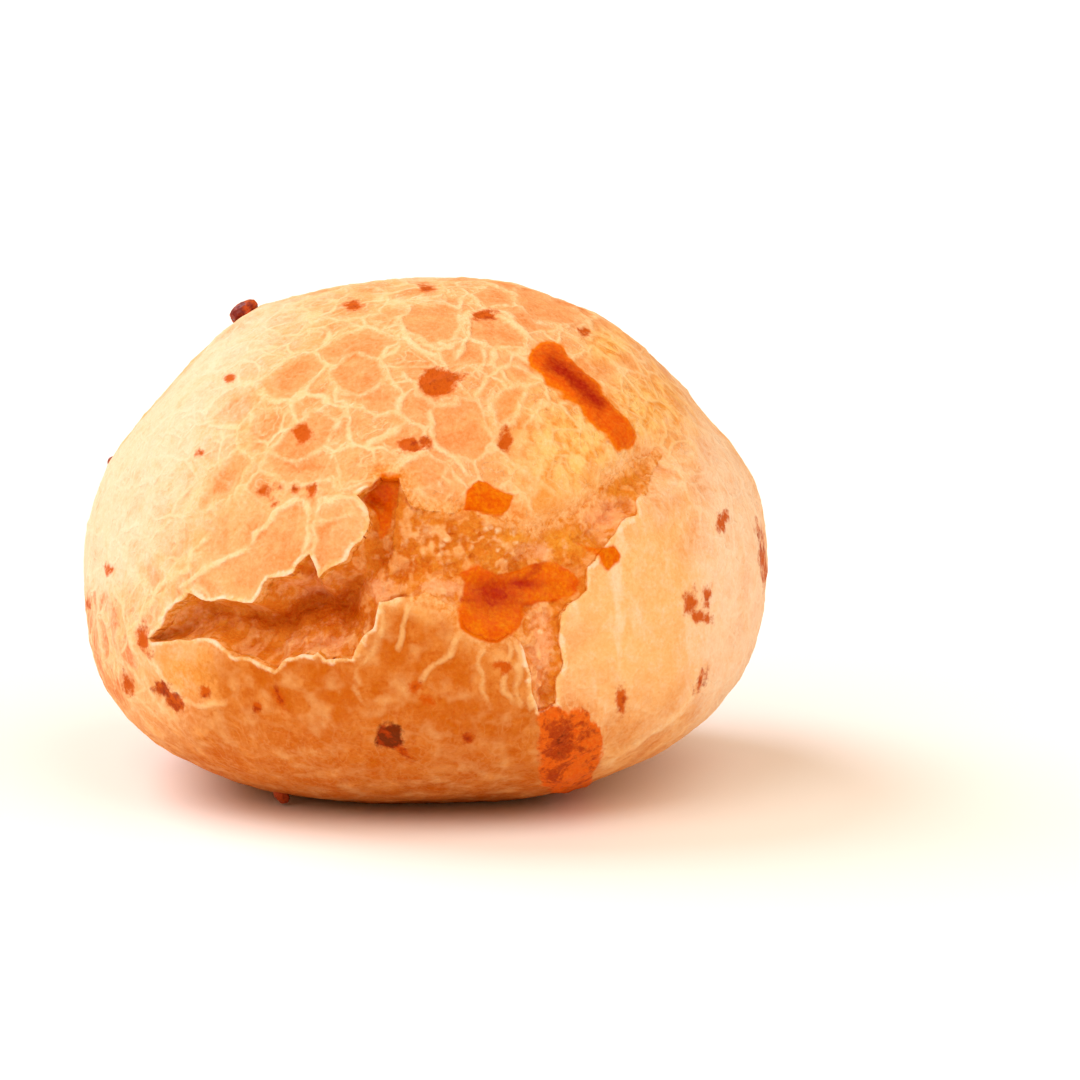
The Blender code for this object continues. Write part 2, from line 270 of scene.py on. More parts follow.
# Two nets of crackle: broad cells, and small ones that fill the zones between them.
BROAD_CELLS = {"seed": 5, "trials": 6000, "gap": 3.5, "wander": 0.6}
SMALL_CELLS = {"seed": 8, "trials": 30000, "gap": 1.45, "wander": 0.45}
PLATED_SHARE = 0.6  # cells with a tone above this one are filled by a plate
HIDDEN_PLATED_SHARE = 0.55  # how strong those plates are away from the show face
BROAD_WIDTH = 0.27
SMALL_WIDTH = 0.2
WRINKLE_LENGTH = 1.3
SLANT = 55.0  # degrees from the horizontal
# The crust's ridges: height, and how strongly the crest is marked in the material.
RIDGES = {
    "crack": (0.1, 0.9),
    "small crack": (0.06, 0.5),
    "slant": (0.08, 0.45),
    "upright": (0.06, 0.3),
}
# The crust's broad and fine unevenness: height, length, octaves.
CRUST_WAVES = [(UNDULATION_HEIGHT, UNDULATION_LENGTH, 2), (0.09, 3.0, 2), (0.065, 1.2, 3)]
TALL_SQUEEZE = np.array([1.0, 1.0, 0.55])
GRAIN_SQUEEZE = np.array([1.0, 1.0, 0.85])
MELT_HEIGHT = 0.09
FLECK_SINK = 0.06
FRAY_REACH = 1.4

# ---------------- melted cheese and toasted flecks
TRIANGLE_MELT = [
    (3.7, 22.9), (4.3, 24.6), (5.0, 25.5), (5.9, 25.3), (6.7, 24.8), (8.1, 24.1), (7.6, 23.1), (6.9, 22.3),
]
BIG_MELT = [
    (3.8, 18.2), (5.5, 18.6), (6.9, 17.8), (8.3, 17.9), (10.0, 18.7), (11.7, 18.8), (13.3, 18.3),
    (13.9, 17.2), (13.5, 16.1), (12.3, 15.4), (10.4, 15.2), (9.6, 14.9), (9.1, 13.6), (8.1, 12.5),
    (6.6, 11.9), (5.0, 12.1), (3.8, 13.1), (3.3, 14.6), (4.0, 15.9),
]
# Creases between the big pool's lobes, darkened as painted shade.
POOL_CREASES = [
    [(7.0, 16.2), (8.6, 16.6), (10.4, 17.9), (10.9, 18.9)],
    [(7.0, 16.2), (5.4, 15.4), (3.8, 15.6)],
    [(7.0, 16.2), (8.6, 15.4), (9.6, 14.9)],
]
TEARDROP_MELT = [
    (14.1, 20.6), (15.1, 19.9), (16.3, 20.1), (16.9, 19.3), (16.6, 18.2), (15.9, 17.7), (15.2, 18.4),
]
WEDGE_MELT = [
    (-4.5, 23.8), (-2.8, 25.6), (-1.2, 25.4), (-1.8, 23.4), (-2.5, 21.4), (-3.4, 20.6), (-3.3, 22.2),
]
MELT_POOLS = (TRIANGLE_MELT, BIG_MELT, TEARDROP_MELT, WEDGE_MELT)
STREAK = [(11.0, 35.8), (12.0, 34.9), (13.4, 33.6), (14.7, 32.2), (15.9, 30.8), (17.3, 29.1)]
STREAK_CORE = [(11.2, 35.5), (13.3, 33.8), (15.2, 32.0)]
STREAK_HALF_WIDTHS = (1.8, 1.15)
STREAK_CORE_WIDTH = 0.75
STREAK_FROM = 27.0  # melted cheese higher up the face has the streak's colours
CREASE_WIDTH = 0.4
BURN = [
    (10.0, 4.6), (10.2, 6.3), (11.5, 6.5), (12.7, 6.2), (14.3, 6.2), (15.3, 4.7), (15.6, 2.9),
    (14.9, 1.2), (14.3, -0.9), (11.9, -1.4), (10.2, 0.0), (10.1, 2.5),
]

# Toasted bits that stand proud: azimuth, elevation, half length, half width, half height, and how far out.
BITS = [
    (169.0, 56.8, 1.35, 1.1, 0.85, 0.45),
    (-131.5, -40.0, 0.95, 0.7, 0.55, 0.2),
    (172.0, 21.5, 0.5, 0.4, 0.4, 0.15),
]

# Flecks on the show face: across, up, half length, half width, turn in degrees, darkness from 0 to 1.
FLECKS = [
    (1.6, 33.7, 1.5, 1.3, 0, 0.12),
    (3.2, 34.1, 0.6, 0.4, 15, 0.1),
    (-0.6, 28.3, 1.0, 0.66, 0, 0.15),
    (0.7, 28.6, 0.55, 0.5, 0, 0.15),
    (5.5, 39.7, 0.95, 0.45, 0, 0.25),
    (7.4, 28.8, 0.5, 0.85, 0, 0.0),
    (25.7, 22.0, 0.5, 0.8, -20, 0.0),
    (22.8, 15.3, 0.5, 0.95, -8, 0.12),
    (24.3, 15.6, 0.32, 0.75, -8, 0.0),
    (23.9, 13.9, 0.85, 0.42, -15, 0.05),
    (23.8, 8.5, 0.42, 1.0, -20, 0.5),
    (17.0, 7.1, 0.42, 1.0, 0, 0.25),
    (-2.3, 4.1, 1.15, 1.1, 0, 1.0),
    (-1.2, 2.9, 0.8, 0.28, -45, 0.6),
    (-11.4, 7.2, 0.35, 1.0, 10, 0.35),
    (-13.3, 6.5, 0.36, 0.36, 0, 0.5),
    (4.3, 3.9, 0.45, 0.5, 0, 0.5),
    (-21.6, 8.0, 0.75, 0.6, 0, 0.45),
    (-20.4, 6.9, 0.95, 0.6, -40, 0.4),
    (-22.5, 12.2, 0.5, 1.1, 15, 0.2),
    (-24.7, 8.2, 0.4, 0.9, 15, 0.3),
    (-17.9, 7.9, 0.5, 0.5, 0, 0.15),
    (-26.6, 18.1, 0.4, 0.5, 0, 0.1),
    (-29.0, 14.9, 0.4, 0.4, 0, 0.3),
    (-16.2, 34.3, 0.42, 0.42, 0, 0.1),
    (-18.4, 27.9, 0.4, 0.3, 30, 0.15),
    (-5.9, 40.7, 0.7, 0.4, 0, 0.15),
    (0.5, 42.2, 0.7, 0.4, 0, 0.1),
    (-9.6, 29.3, 0.8, 0.7, 0, 0.05),
    (14.0, 38.3, 0.45, 0.42, 0, 0.1),
    (-12.8, 24.5, 0.5, 0.4, 0, 0.1),
    (-11.4, 24.8, 0.35, 0.3, 0, 0.15),
    (-10.1, 24.7, 0.35, 0.3, 0, 0.15),
    (-8.7, 24.5, 0.4, 0.5, 0, 0.1),
    (-11.8, 23.5, 0.3, 0.35, 0, 0.1),
    (7.3, 10.0, 0.6, 0.5, 0, 0.1),
    (-0.1, 8.3, 0.6, 0.5, 30, 0.15),
    (0.9, 7.2, 0.7, 0.35, -30, 0.15),
    (29.5, 19.0, 0.3, 2.1, 6, 0.3),
]
FLECK_RING = 0.45  # how much paler the middle of a dark fleck is, and how far out that reaches
# Flecks on the sides and back, which follow the front's sizes and spacing.
HIDDEN_FLECKS = 42
HIDDEN_SEED = 11
HIDDEN_FLECK_RADII = (0.35, 1.55)
HIDDEN_FLECK_DARKNESS = (0.05, 0.8)
HIDDEN_FLECK_STRETCH = (0.7, 1.9)
FLECK_GAP = 4.5
HIDDEN_FROM_DEPTH = 4.0
HIDDEN_FROM_HEIGHT = 2.0
FAR_AWAY = 30.0  # stands for the distance to an outline from where the show face turns away
FIELD_REACH = 3.0  # distances are kept up to this far


def unit_vector(azimuth, elevation):
    """Unit vector at an azimuth and an elevation in degrees."""
    turn = math.radians(azimuth)
    rise = math.radians(elevation)
    return np.array([math.cos(turn) * math.cos(rise), math.sin(turn) * math.cos(rise), math.sin(rise)])


def angle_from(directions, axis):
    """Angle in degrees between each direction and an axis."""
    return np.degrees(np.arccos(np.clip(directions @ axis, -1.0, 1.0)))


def smooth_step(value):
    """Eases from 0 to 1 as the value goes from 0 to 1."""
    t = np.clip(value, 0.0, 1.0)
    return t * t * (3.0 - 2.0 * t)


def falling(value):
    """1 at 0, falling to 0 in a bell curve on both sides."""
    return np.exp(-(value**2))


def body_radius(directions):
    """Distance from the waist's middle to the smooth body, in each direction."""
    below = np.clip(-1.2 * directions[:, 2], 0.0, 1.0)
    squareness = 2.0 + (BASE_SQUARENESS - 2.0) * below
    side = np.abs(directions[:, 0]) / HALF_WIDTH
    front = np.abs(directions[:, 1]) / HALF_DEPTH
    level = (side**squareness + front**squareness) ** (1.0 / squareness)
    dome = smooth_step(0.5 + 0.5 * directions[:, 2] / WAIST_BLEND)
    reach = BELLY_DROP + (DOME_RISE - BELLY_DROP) * dome
    fullness = BELLY_FULLNESS + (DOME_FULLNESS - BELLY_FULLNESS) * dome
    radius = (level**fullness + (np.abs(directions[:, 2]) / reach) ** fullness) ** (-1.0 / fullness)
    for azimuth, elevation, spread, height in SWELLS:
        away = angle_from(directions, unit_vector(azimuth, elevation)) / spread
        radius = radius + height * falling(away)
    return radius


def body_points(directions, radius):
    """Points at a radius from the waist's middle, in millimetres above the base."""
    points = directions * radius[:, None]
    points[:, 2] += WAIST_LEVEL
    return points


def bare_points(directions):
    """Points of the smooth body."""
    return body_points(directions, body_radius(directions))


LEAN = math.radians(FACE_LEAN)
FACE_UP = np.array([0.0, math.sin(LEAN), math.cos(LEAN)])


def show_face(points):
    """Across, up and whether the point is on the front of the show face."""
    return points[:, 0], points @ FACE_UP, points[:, 1] < 0.0


def facing_share(points):
    """1 on the show face, easing to 0 over the sides."""
    return smooth_step(0.5 - points[:, 1] / 8.0)


def distance_to_line(across, up, line):
    """Shortest distance on the show face to an open line."""
    nearest = np.full(len(across), np.inf)
    for (x0, y0), (x1, y1) in zip(line[:-1], line[1:]):
        run = np.array([x1 - x0, y1 - y0])
        along = ((across - x0) * run[0] + (up - y0) * run[1]) / (run @ run)
        along = np.clip(along, 0.0, 1.0)
        gap = np.hypot(across - x0 - along * run[0], up - y0 - along * run[1])
        nearest = np.minimum(nearest, gap)
    return nearest


def distance_inside(across, up, outline):
    """Distance on the show face to a closed outline, positive inside it."""
    inside = np.zeros(len(across), bool)
    for (x0, y0), (x1, y1) in zip(outline, outline[1:] + outline[:1]):
        crosses = (y0 > up) != (y1 > up)
        if y1 != y0:
            at = x0 + (up - y0) * (x1 - x0) / (y1 - y0)
            inside ^= crosses & (across < at)
    gap = distance_to_line(across, up, outline + outline[:1])
    return np.where(inside, gap, -gap)


def soft_least(a, b, rounding):
    """The smaller of two values, with the corner between them rounded."""
    blend = np.clip(0.5 + 0.5 * (b - a) / rounding, 0.0, 1.0)
    return b + (a - b) * blend - rounding * blend * (1.0 - blend)


def wave(points, length, octaves=2):
    """Smooth irregular waves of about one length, from -1 to 1."""
    return np.array([noise.fractal(Vector(p) / length, 1.0, 2.0, octaves) for p in points])


def wandering(points):
    """Across and up on the show face, shifted by small waves, so that an outline drawn there wanders."""
    across, up, front = show_face(points)
    shift = np.array([noise.noise_vector(Vector(p) / EDGE_WANDER_LENGTH) for p in points])
    return across + EDGE_WANDER * shift[:, 0], up + EDGE_WANDER * shift[:, 2], front


def tear_distance(points):
    """Distance inside the tear, positive where the crust is gone."""
    across, up, front = wandering(points)
    return np.where(front, distance_inside(across, up, TEAR), -FAR_AWAY)


def gash_depth(across, up):
    """Depth of the gash: steep under its upper lip, sloping up to its lower lip."""
    roof = GASH_ROOF_SLOPE * distance_to_line(across, up, UPPER_LIP)
    floor = GASH_FLOOR_SLOPE * distance_to_line(across, up, LOWER_LIP)
    hollow = soft_least(soft_least(roof, floor, GASH_ROUNDING), GASH_DEPTH, GASH_ROUNDING)
    inside = distance_inside(across, up, GASH) > 0.0
    fade = 1.0 - GASH_FADE_SHARE * smooth_step((across - GASH_FADE_START) / GASH_FADE_RUN)
    return np.where(inside, np.maximum(hollow, 0.0), 0.0) * fade


def lip_swell(across, up):
    """How far the crust swells out above and below the gash."""
    upper = falling(distance_to_line(across, up, UPPER_LIP) / LIP_SWELL_REACH)
    lower = falling(distance_to_line(across, up, LOWER_LIP) / LIP_SWELL_REACH)
    return np.maximum(LIP_SWELL * upper, LOWER_LIP_SWELL * lower)


def groove_depth(across, up):
    """Depth of the grooves and melt dishes, which run on a little into the crust."""
    depth = np.zeros(len(across))
    for line, half_width, most in GROOVES:
        depth += most * falling(distance_to_line(across, up, line) / half_width)
    for middle, half_width, most in MELT_DISHES:
        depth += most * falling(np.hypot(across - middle[0], up - middle[1]) / half_width)
    return depth


def leak_swelling(directions):
    """Height of the swelling under the scorched leak, an oval longer along its parallel."""
    azimuth, elevation, half_length, half_width, rise = LEAK_SWELLING
    axis = unit_vector(azimuth, elevation)
    along = unit_vector(azimuth + 90.0, 0.0)
    across = np.cross(axis, along)
    away = np.hypot(
        np.degrees(directions @ along) / half_length,
        np.degrees(directions @ across) / half_width,
    )
    return np.where(directions @ axis > 0.0, rise * (1.0 - smooth_step(away)), 0.0)


def melt_distance(across, up, front):
    """Distance inside the nearest pool of melted cheese, positive inside it."""
    nearest = np.max([distance_inside(across, up, pool) for pool in MELT_POOLS], axis=0)
    spine = distance_to_line(across, up, STREAK)
    along = np.clip((across - STREAK[0][0]) / (STREAK[-1][0] - STREAK[0][0]), 0.0, 1.0)
    half_width = STREAK_HALF_WIDTHS[0] + (STREAK_HALF_WIDTHS[1] - STREAK_HALF_WIDTHS[0]) * along
    inside = np.where(front, np.maximum(nearest, half_width - spine), -FAR_AWAY)
    return np.clip(inside, -FIELD_REACH, FIELD_REACH)


def fleck_fields(points):
    """Distance inside the nearest toasted fleck, positive inside it, and how dark that fleck is."""
    across, up, front = show_face(points)
    inside = np.full(len(points), -FIELD_REACH)
    dark = np.zeros(len(points))
    for at_across, at_up, half_length, half_width, turn, darkness in FLECKS:
        cosine = math.cos(math.radians(turn))
        sine = math.sin(math.radians(turn))
        along = (across - at_across) * cosine + (up - at_up) * sine
        aside = (up - at_up) * cosine - (across - at_across) * sine
        ratio = np.hypot(along / half_length, aside / half_width)
        gap = np.where(front, (1.0 - ratio) * min(half_length, half_width), -FIELD_REACH)
        ring = darkness * (1.0 - FLECK_RING * darkness * falling(ratio / FLECK_RING))
        dark = np.where(gap > inside, ring, dark)
        inside = np.maximum(inside, gap)
    for middle, radius, stretch, darkness in hidden_flecks():
        gap = radius - np.linalg.norm((points - middle) * stretch, axis=1)
        dark = np.where(gap > inside, darkness, dark)
        inside = np.maximum(inside, gap)
    return np.clip(inside, -FIELD_REACH, FIELD_REACH), dark


def hidden_flecks():
    """Middle, radius, stretch and darkness of the flecks scattered over the sides and back."""
    random = np.random.default_rng(HIDDEN_SEED)
    smallest, largest = HIDDEN_FLECK_RADII
    flecks = []
    while len(flecks) < HIDDEN_FLECKS:
        direction = random.normal(size=3)
        direction /= np.linalg.norm(direction)
        size = random.uniform(0.3, 1.0) ** 2
        darkness = random.uniform(*HIDDEN_FLECK_DARKNESS)
        middle = bare_points(direction[None])[0]
        hidden = middle[1] > HIDDEN_FROM_DEPTH and middle[2] > HIDDEN_FROM_HEIGHT
        if hidden and all(np.linalg.norm(middle - other[0]) > FLECK_GAP for other in flecks):
            stretch = random.uniform(*HIDDEN_FLECK_STRETCH, 3)
            flecks.append((middle, smallest + (largest - smallest) * size, stretch, darkness))
    return flecks


# ---------------- meshes
COARSE_SPLITS = 7
FRONT_AXIS = unit_vector(-90.0, 12.0)
FRONT_ANGLE = 60.0
LIP_BAND = 0.8
LIP_FINE_BAND = 0.3
SNAP_REACH = 0.045
SNAP_STEP = 0.05


def split_faces(bm, wanted):
    """Splits each wanted face in four and puts the new vertices back on the unit sphere."""
    edges = {edge for face in wanted for edge in face.edges}
    bmesh.ops.subdivide_edges(bm, edges=list(edges), cuts=1, use_grid_fill=True)
    bmesh.ops.triangulate(bm, faces=[face for face in bm.faces if len(face.verts) > 3])
    for vertex in bm.verts:
        vertex.co.normalize()


def chosen_faces(bm, choose):
    """Faces whose middles, as directions, are chosen."""
    bm.faces.ensure_lookup_table()
    middles = np.array([face.calc_center_median().normalized() for face in bm.faces])
    return [bm.faces[i] for i in np.flatnonzero(choose(middles))]


def rough_tear_distance(directions):
    """Distance inside the tear without the edge's small waves."""
    across, up, front = show_face(bare_points(directions))
    return np.where(front, distance_inside(across, up, TEAR), -FAR_AWAY)


def arrays_of(bm):
    """Vertex directions and triangles of a mesh in progress."""
    mesh = bpy.data.meshes.new("scratch")
    bm.to_mesh(mesh)
    directions = np.empty(len(mesh.vertices) * 3)
    mesh.vertices.foreach_get("co", directions)
    faces = np.empty(len(mesh.loops), int)
    mesh.loops.foreach_get("vertex_index", faces)
    bpy.data.meshes.remove(mesh)
    return directions.reshape(-1, 3), faces.reshape(-1, 3)


def crust_sphere():
    """Unit sphere, finer on the show face and finest along the tear's lips."""
    bm = bmesh.new()
    bmesh.ops.create_icosphere(bm, subdivisions=COARSE_SPLITS, radius=1.0)
    split_faces(bm, chosen_faces(bm, lambda d: angle_from(d, FRONT_AXIS) < FRONT_ANGLE))
    split_faces(bm, chosen_faces(bm, lambda d: np.abs(rough_tear_distance(d)) < LIP_BAND))
    split_faces(bm, chosen_faces(bm, lambda d: np.abs(tear_distance(bare_points(d))) < LIP_FINE_BAND))
    result = arrays_of(bm)
    bm.free()
    return result


def crumb_patch():
    """Directions and triangles of the part of the sphere that the tear shows, split finely."""
    bm = bmesh.new()
    bmesh.ops.create_icosphere(bm, subdivisions=COARSE_SPLITS, radius=1.0)
    outside = chosen_faces(bm, lambda d: rough_tear_distance(d) < -CRUMB_MARGIN)
    bmesh.ops.delete(bm, geom=outside, context="FACES")
    for _ in range(2):
        split_faces(bm, list(bm.faces))
    result = arrays_of(bm)
    bm.free()
    return result


def snapped_to_lip(directions, reach):
    """Moves the directions within a reach of the tear's edge onto it, so that the lip is a clean line."""
    directions = directions.copy()
    near = np.flatnonzero(np.abs(rough_tear_distance(directions)) < 4.0 * reach)
    gap = tear_distance(bare_points(directions[near]))
    near = near[np.abs(gap) < reach]
    for _ in range(2):
        at = bare_points(directions[near])
        gap = tear_distance(at)
        right = tear_distance(at + np.array([SNAP_STEP, 0.0, 0.0])) - gap
        rise = tear_distance(at + SNAP_STEP * FACE_UP) - gap
        slope = np.stack([right, rise], 1) / SNAP_STEP
        size = np.maximum((slope**2).sum(1), 0.25)
        move = -(gap / size)[:, None] * slope
        moved = at + move[:, :1] * np.array([1.0, 0.0, 0.0]) + move[:, 1:] * FACE_UP
        moved -= np.array([0.0, 0.0, WAIST_LEVEL])
        directions[near] = moved / np.linalg.norm(moved, axis=1)[:, None]
    return directions


def new_mesh(name, points, faces):
    """Mesh object from points in millimetres and triangles, shaded smooth."""
    mesh = bpy.data.meshes.new(name)
    mesh.from_pydata(points * MM, [], faces.tolist())
    mesh.shade_smooth()
    piece = bpy.data.objects.new(name, mesh)
    bpy.context.scene.collection.objects.link(piece)
    return piece


def store(piece, name, values):
    """Keeps a number or a vector for each vertex, for the material to read."""
    kind = "FLOAT_VECTOR" if values.ndim == 2 else "FLOAT"
    key = "vector" if values.ndim == 2 else "value"
    attribute = piece.data.attributes.new(name, kind, "POINT")
    attribute.data.foreach_set(key, values.astype(np.float32).ravel())


def patches(across, up, table):
    """The strongest of a table's soft oval patches: its strength in a patch's middle, falling to 0."""
    fields = []
    for middle_across, middle_up, half_width, half_height, strength in table:
        away = np.hypot((across - middle_across) / half_width, (up - middle_up) / half_height)
        fields.append(strength * falling(away))
    return np.max(fields, axis=0)


def browning_and_shade(points, across, up, face):
    """How browned the crust is, its darkening partly painted shade: more towards the base, and lower down at
    the right and the left.
    """
    drift = wave(points, 7.0)
    right = smooth_step((across - 9.5) / 3.0)
    left = smooth_step((-across - 15.0) / 5.0)
    top = BROWN_TOP - BROWN_TOP_DROP_RIGHT * right - BROWN_TOP_DROP_LEFT * left
    deeper = sum(patches(across, up, [one]) for one in DEEPER_PATCHES)
    front = smooth_step((top - up + 1.5 * drift) / BROWN_RUN + deeper)
    hidden = smooth_step((BROWN_TOP_HIDDEN - points[:, 2] + 2.5 * drift) / BROWN_RUN_HIDDEN)
    return front * face + hidden * (1.0 - face)


def paleness(points, across, up, face, far_left):
    """How pale the crust is: at both sides of the show face and in broad patches elsewhere."""
    left = smooth_step((-across - 14.5 + 0.5 * (up - 22.0)) / 12.0) * (1.0 - 0.45 * far_left)
    right = np.maximum(0.85 * smooth_step((across - 20.5) / 5.5), patches(across, up, PALE_PATCHES))
    hidden = 0.6 * smooth_step(0.3 + 1.1 * wave(points + 40.0, 15.0))
    return np.maximum(left, right) * face + hidden * (1.0 - face)


def tone_fields(points):
    """Slow changes over the crust: how browned (partly painted shade), pale, golden and smooth it is, and
    which way it wrinkles.
    """
    across, up, _ = show_face(points)
    near_across, near_up, _ = wandering(points)
    face = facing_share(points)
    far_left = smooth_step((-across - 22.5) / 2.0) * smooth_step((18.0 - up) / 3.0)
    plated = np.max([distance_inside(near_across, near_up, plate) for plate in DOME_PLATES], axis=0)
    domed = smooth_step(plated / 0.4)
    tanned = np.maximum(patches(across, up, TANNED_AND_SHADED_PATCHES), 0.9 * domed)
    flat = np.maximum(patches(across, up, FLAT_PATCHES), 0.75 * domed)
    plate = np.clip(1.25 * patches(across, up, PLATE_PATCHES), 0.0, 1.0) * face
    low = smooth_step((12.0 - up) / 5.0)
    return {
        # brown: real browning and painted shade, both growing towards the base
        "brown": browning_and_shade(points, across, up, face),
        "pale": paleness(points, across, up, face, far_left),
        "golden": patches(across, up, GOLDEN_PATCHES) * face,
        "amber": patches(across, up, AMBER_PATCHES) * face,
        "tanned": tanned * face,
        "flat": np.clip(1.3 * flat, 0.0, 1.0) * face,
        "plate": plate,
        "stained": far_left * smooth_step((up - 5.0) / 3.0) * face,
        "upright": np.clip(low + far_left, 0.0, 1.0) * (1.0 - plate),
    }


def cell_middles(cells):
    """Middles of crackle cells, scattered at a distance from one another that changes slowly."""
    random = np.random.default_rng(cells["seed"])
    directions = random.normal(size=(cells["trials"], 3))
    directions /= np.linalg.norm(directions, axis=1)[:, None]
    points = bare_points(directions)
    spacing = cells["gap"] * (1.0 + 0.45 * wave(points, 8.0))
    kept = np.empty((len(points), 3))
    count = 0
    for point, gap in zip(points, spacing):
        if count == 0 or ((kept[:count] - point) ** 2).sum(axis=1).min() > gap * gap:
            kept[count] = point
            count += 1
    return kept[:count]


def crackle(points, cells):
    """Distance to the nearest edge between crackle cells, and the tones of this cell and the next."""
    middles = cell_middles(cells)
    tree = kdtree.KDTree(len(middles))
    for index, middle in enumerate(middles):
        tree.insert(middle, index)
    tree.balance()
    cell_tones = np.random.default_rng(cells["seed"]).uniform(size=len(middles))
    edge = np.empty(len(points))
    tone = np.empty(len(points))
    next_tone = np.empty(len(points))
    wander = cells["wander"]
    gap = cells["gap"]
    for i, point in enumerate(points):
        # the place is shifted by broad and fine waves, so that the edges wander
        place = Vector(point)
        shift = wander * noise.noise_vector(place / (0.75 * gap))
        shift = shift + 0.4 * wander * noise.noise_vector(place / (0.28 * gap))
        place = place + shift
        near = tree.find_n(place, 4)
        first = near[0][0]
        gaps = [((first + other) / 2 - place).dot((other - first).normalized()) for other, _, _ in near[1:]]
        edge[i] = min(gaps)
        tone[i] = cell_tones[near[0][1]]
        next_tone[i] = cell_tones[near[1 + gaps.index(edge[i])][1]]
    return edge, tone, next_tone


def slant_place(points, turn, stretch):
    """Points squeezed along a turn from the horizontal, so that waves laid over them run long that way."""
    cosine = math.cos(math.radians(turn))
    sine = math.sin(math.radians(turn))
    along = (points[:, 0] * cosine + points[:, 2] * sine) / stretch
    aside = points[:, 2] * cosine - points[:, 0] * sine
    return np.stack([along, points[:, 1], aside], 1)


def wrinkles(points, turn, length, stretch):
    """Crests of long wrinkles that run at a turn from the horizontal: 1 on a crest, falling to 0."""
    return smooth_step(0.5 + 1.2 * wave(slant_place(points, turn, stretch), length))


def rim_crests(across, up, front):
    """Crests of the plate rims: 1 or less on a crest, falling to 0."""
    crest = np.zeros(len(across))
    for line, strength in RIMS:
        gap = distance_to_line(across, up, line)
        ends = [np.hypot(across - x, up - y) for x, y in (line[0], line[-1])]
        taper = smooth_step(0.5 + np.min(ends, axis=0) / RIM_TAPER)
        crest = np.maximum(crest, strength * taper * falling(gap / RIM_WIDTH))
    for plate in DOME_PLATES:
        gap = distance_to_line(across, up, plate + plate[:1])
        crest = np.maximum(crest, PLATE_RIM * falling(gap / RIM_WIDTH))
    return np.where(front, crest, 0.0)


def lip_share(across, up):
    """1 beside the tear's sharp lips, falling to 0 where the crust frays softly into the crumb."""
    sharp_lines = (UPPER_LIP[:-2], LOWER_LIP, PLATE_EDGE[1:] + STRIP_EDGE[:3])
    sharp = np.min([distance_to_line(across, up, line) for line in sharp_lines], axis=0)
    soft_lines = (UPPER_LIP[-2:] + TEAR_TOP + PLATE_EDGE[:1], STRIP_EDGE[2:] + CRUMB_BOTTOM[:-1])
    soft = np.min([distance_to_line(across, up, line) for line in soft_lines], axis=0)
    return smooth_step(0.5 + (soft - sharp) / 1.6)


def crust_cracks(skin, tones):
    """Broad and small cracks of the crust, each from 0 to 1, and what the material asks of their cells."""
    edge, cell_tone, next_tone = crackle(skin, BROAD_CELLS)
    small_edge, _, _ = crackle(skin, SMALL_CELLS)
    facing = np.where(skin[:, 1] < 0.0, 1.0, HIDDEN_PLATED_SHARE)
    calm = 1.0 - 0.95 * tones["plate"]
    unbrowned = 1.0 - 0.5 * tones["brown"]
    uncoloured = (1.0 - tones["golden"]) * (1.0 - tones["flat"]) * (1.0 - 0.7 * tones["pale"]) * unbrowned
    plated = np.where(cell_tone > PLATED_SHARE, 1.0, 0.0) * uncoloured * calm * facing
    beside = np.where(np.maximum(cell_tone, next_tone) > PLATED_SHARE, 0.9, 0.0) * uncoloured
    presence = np.maximum(smooth_step(0.75 + 1.3 * wave(skin + 9.0, 3.2)), beside) * calm
    width = BROAD_WIDTH * (1.0 + 0.5 * wave(skin + 21.0, 2.0))
    crack = presence * falling(edge / width) * unbrowned * (1.0 - 0.75 * tones["flat"])
    busy = smooth_step((1.3 - edge) / 1.2) * smooth_step(0.4 + 1.6 * wave(skin + 33.0, 4.0)) * calm
    busy *= (1.0 - 0.7 * tones["brown"]) * (1.0 - 0.6 * tones["golden"]) * (1.0 - 0.9 * tones["flat"])
    small_crack = busy * falling(small_edge / SMALL_WIDTH)
    return crack, small_crack, {"edge": edge, "busy": busy, "cell_tone": cell_tone, "plated": plated}


def frayed_share(across, torn, sharp):
    """How much of the crumb's colour the crust takes on where it frays at the top of the tear."""
    beyond = falling(np.minimum(torn, 0.0) / FRAY_REACH)
    fade = smooth_step((22.0 - across) / 2.5) * (1.0 - 0.5 * smooth_step((across - 13.0) / 4.0))
    return (1.0 - sharp) * beyond * fade


def crust_fields(skin):
    """What lies where on the crust, for its relief and its material, and its ridges, each from 0 to 1."""
    across, up, front = show_face(skin)
    torn = tear_distance(skin)
    sharp = lip_share(across, up)
    tones = tone_fields(skin)
    crack, small_crack, cells = crust_cracks(skin, tones)
    slant = wrinkles(skin, SLANT, WRINKLE_LENGTH * 1.2, 4.0) * patches(across, up, SLANTED_PATCHES)
    slant *= facing_share(skin)
    upright = wrinkles(skin, 90.0, WRINKLE_LENGTH, 3.2) * tones["upright"]
    ridges = {"crack": crack, "small crack": small_crack, "slant": slant, "upright": upright}
    fleck, dark = fleck_fields(skin)
    fields = {
        "crest": np.max([share * ridges[name] for name, (_, share) in RIDGES.items()], axis=0),
        "rim": rim_crests(*wandering(skin)),
        "lip": sharp * falling(np.minimum(torn, 0.0) / LIP_RISE_REACH),
        "wall": smooth_step(torn / DIVE_RUN),
        "melt": melt_distance(*wandering(skin)),
        "fleck": fleck,
        "dark": dark,
        "burn": burn_distance(skin),
        "scorch": patches(across, up, SCORCH_PATCHES) * front,
        "core": core_field(skin),
        "streak": smooth_step(up - STREAK_FROM),
        "frayed": frayed_share(across, torn, sharp),
    }
    return {**fields, **cells, **tones}, ridges


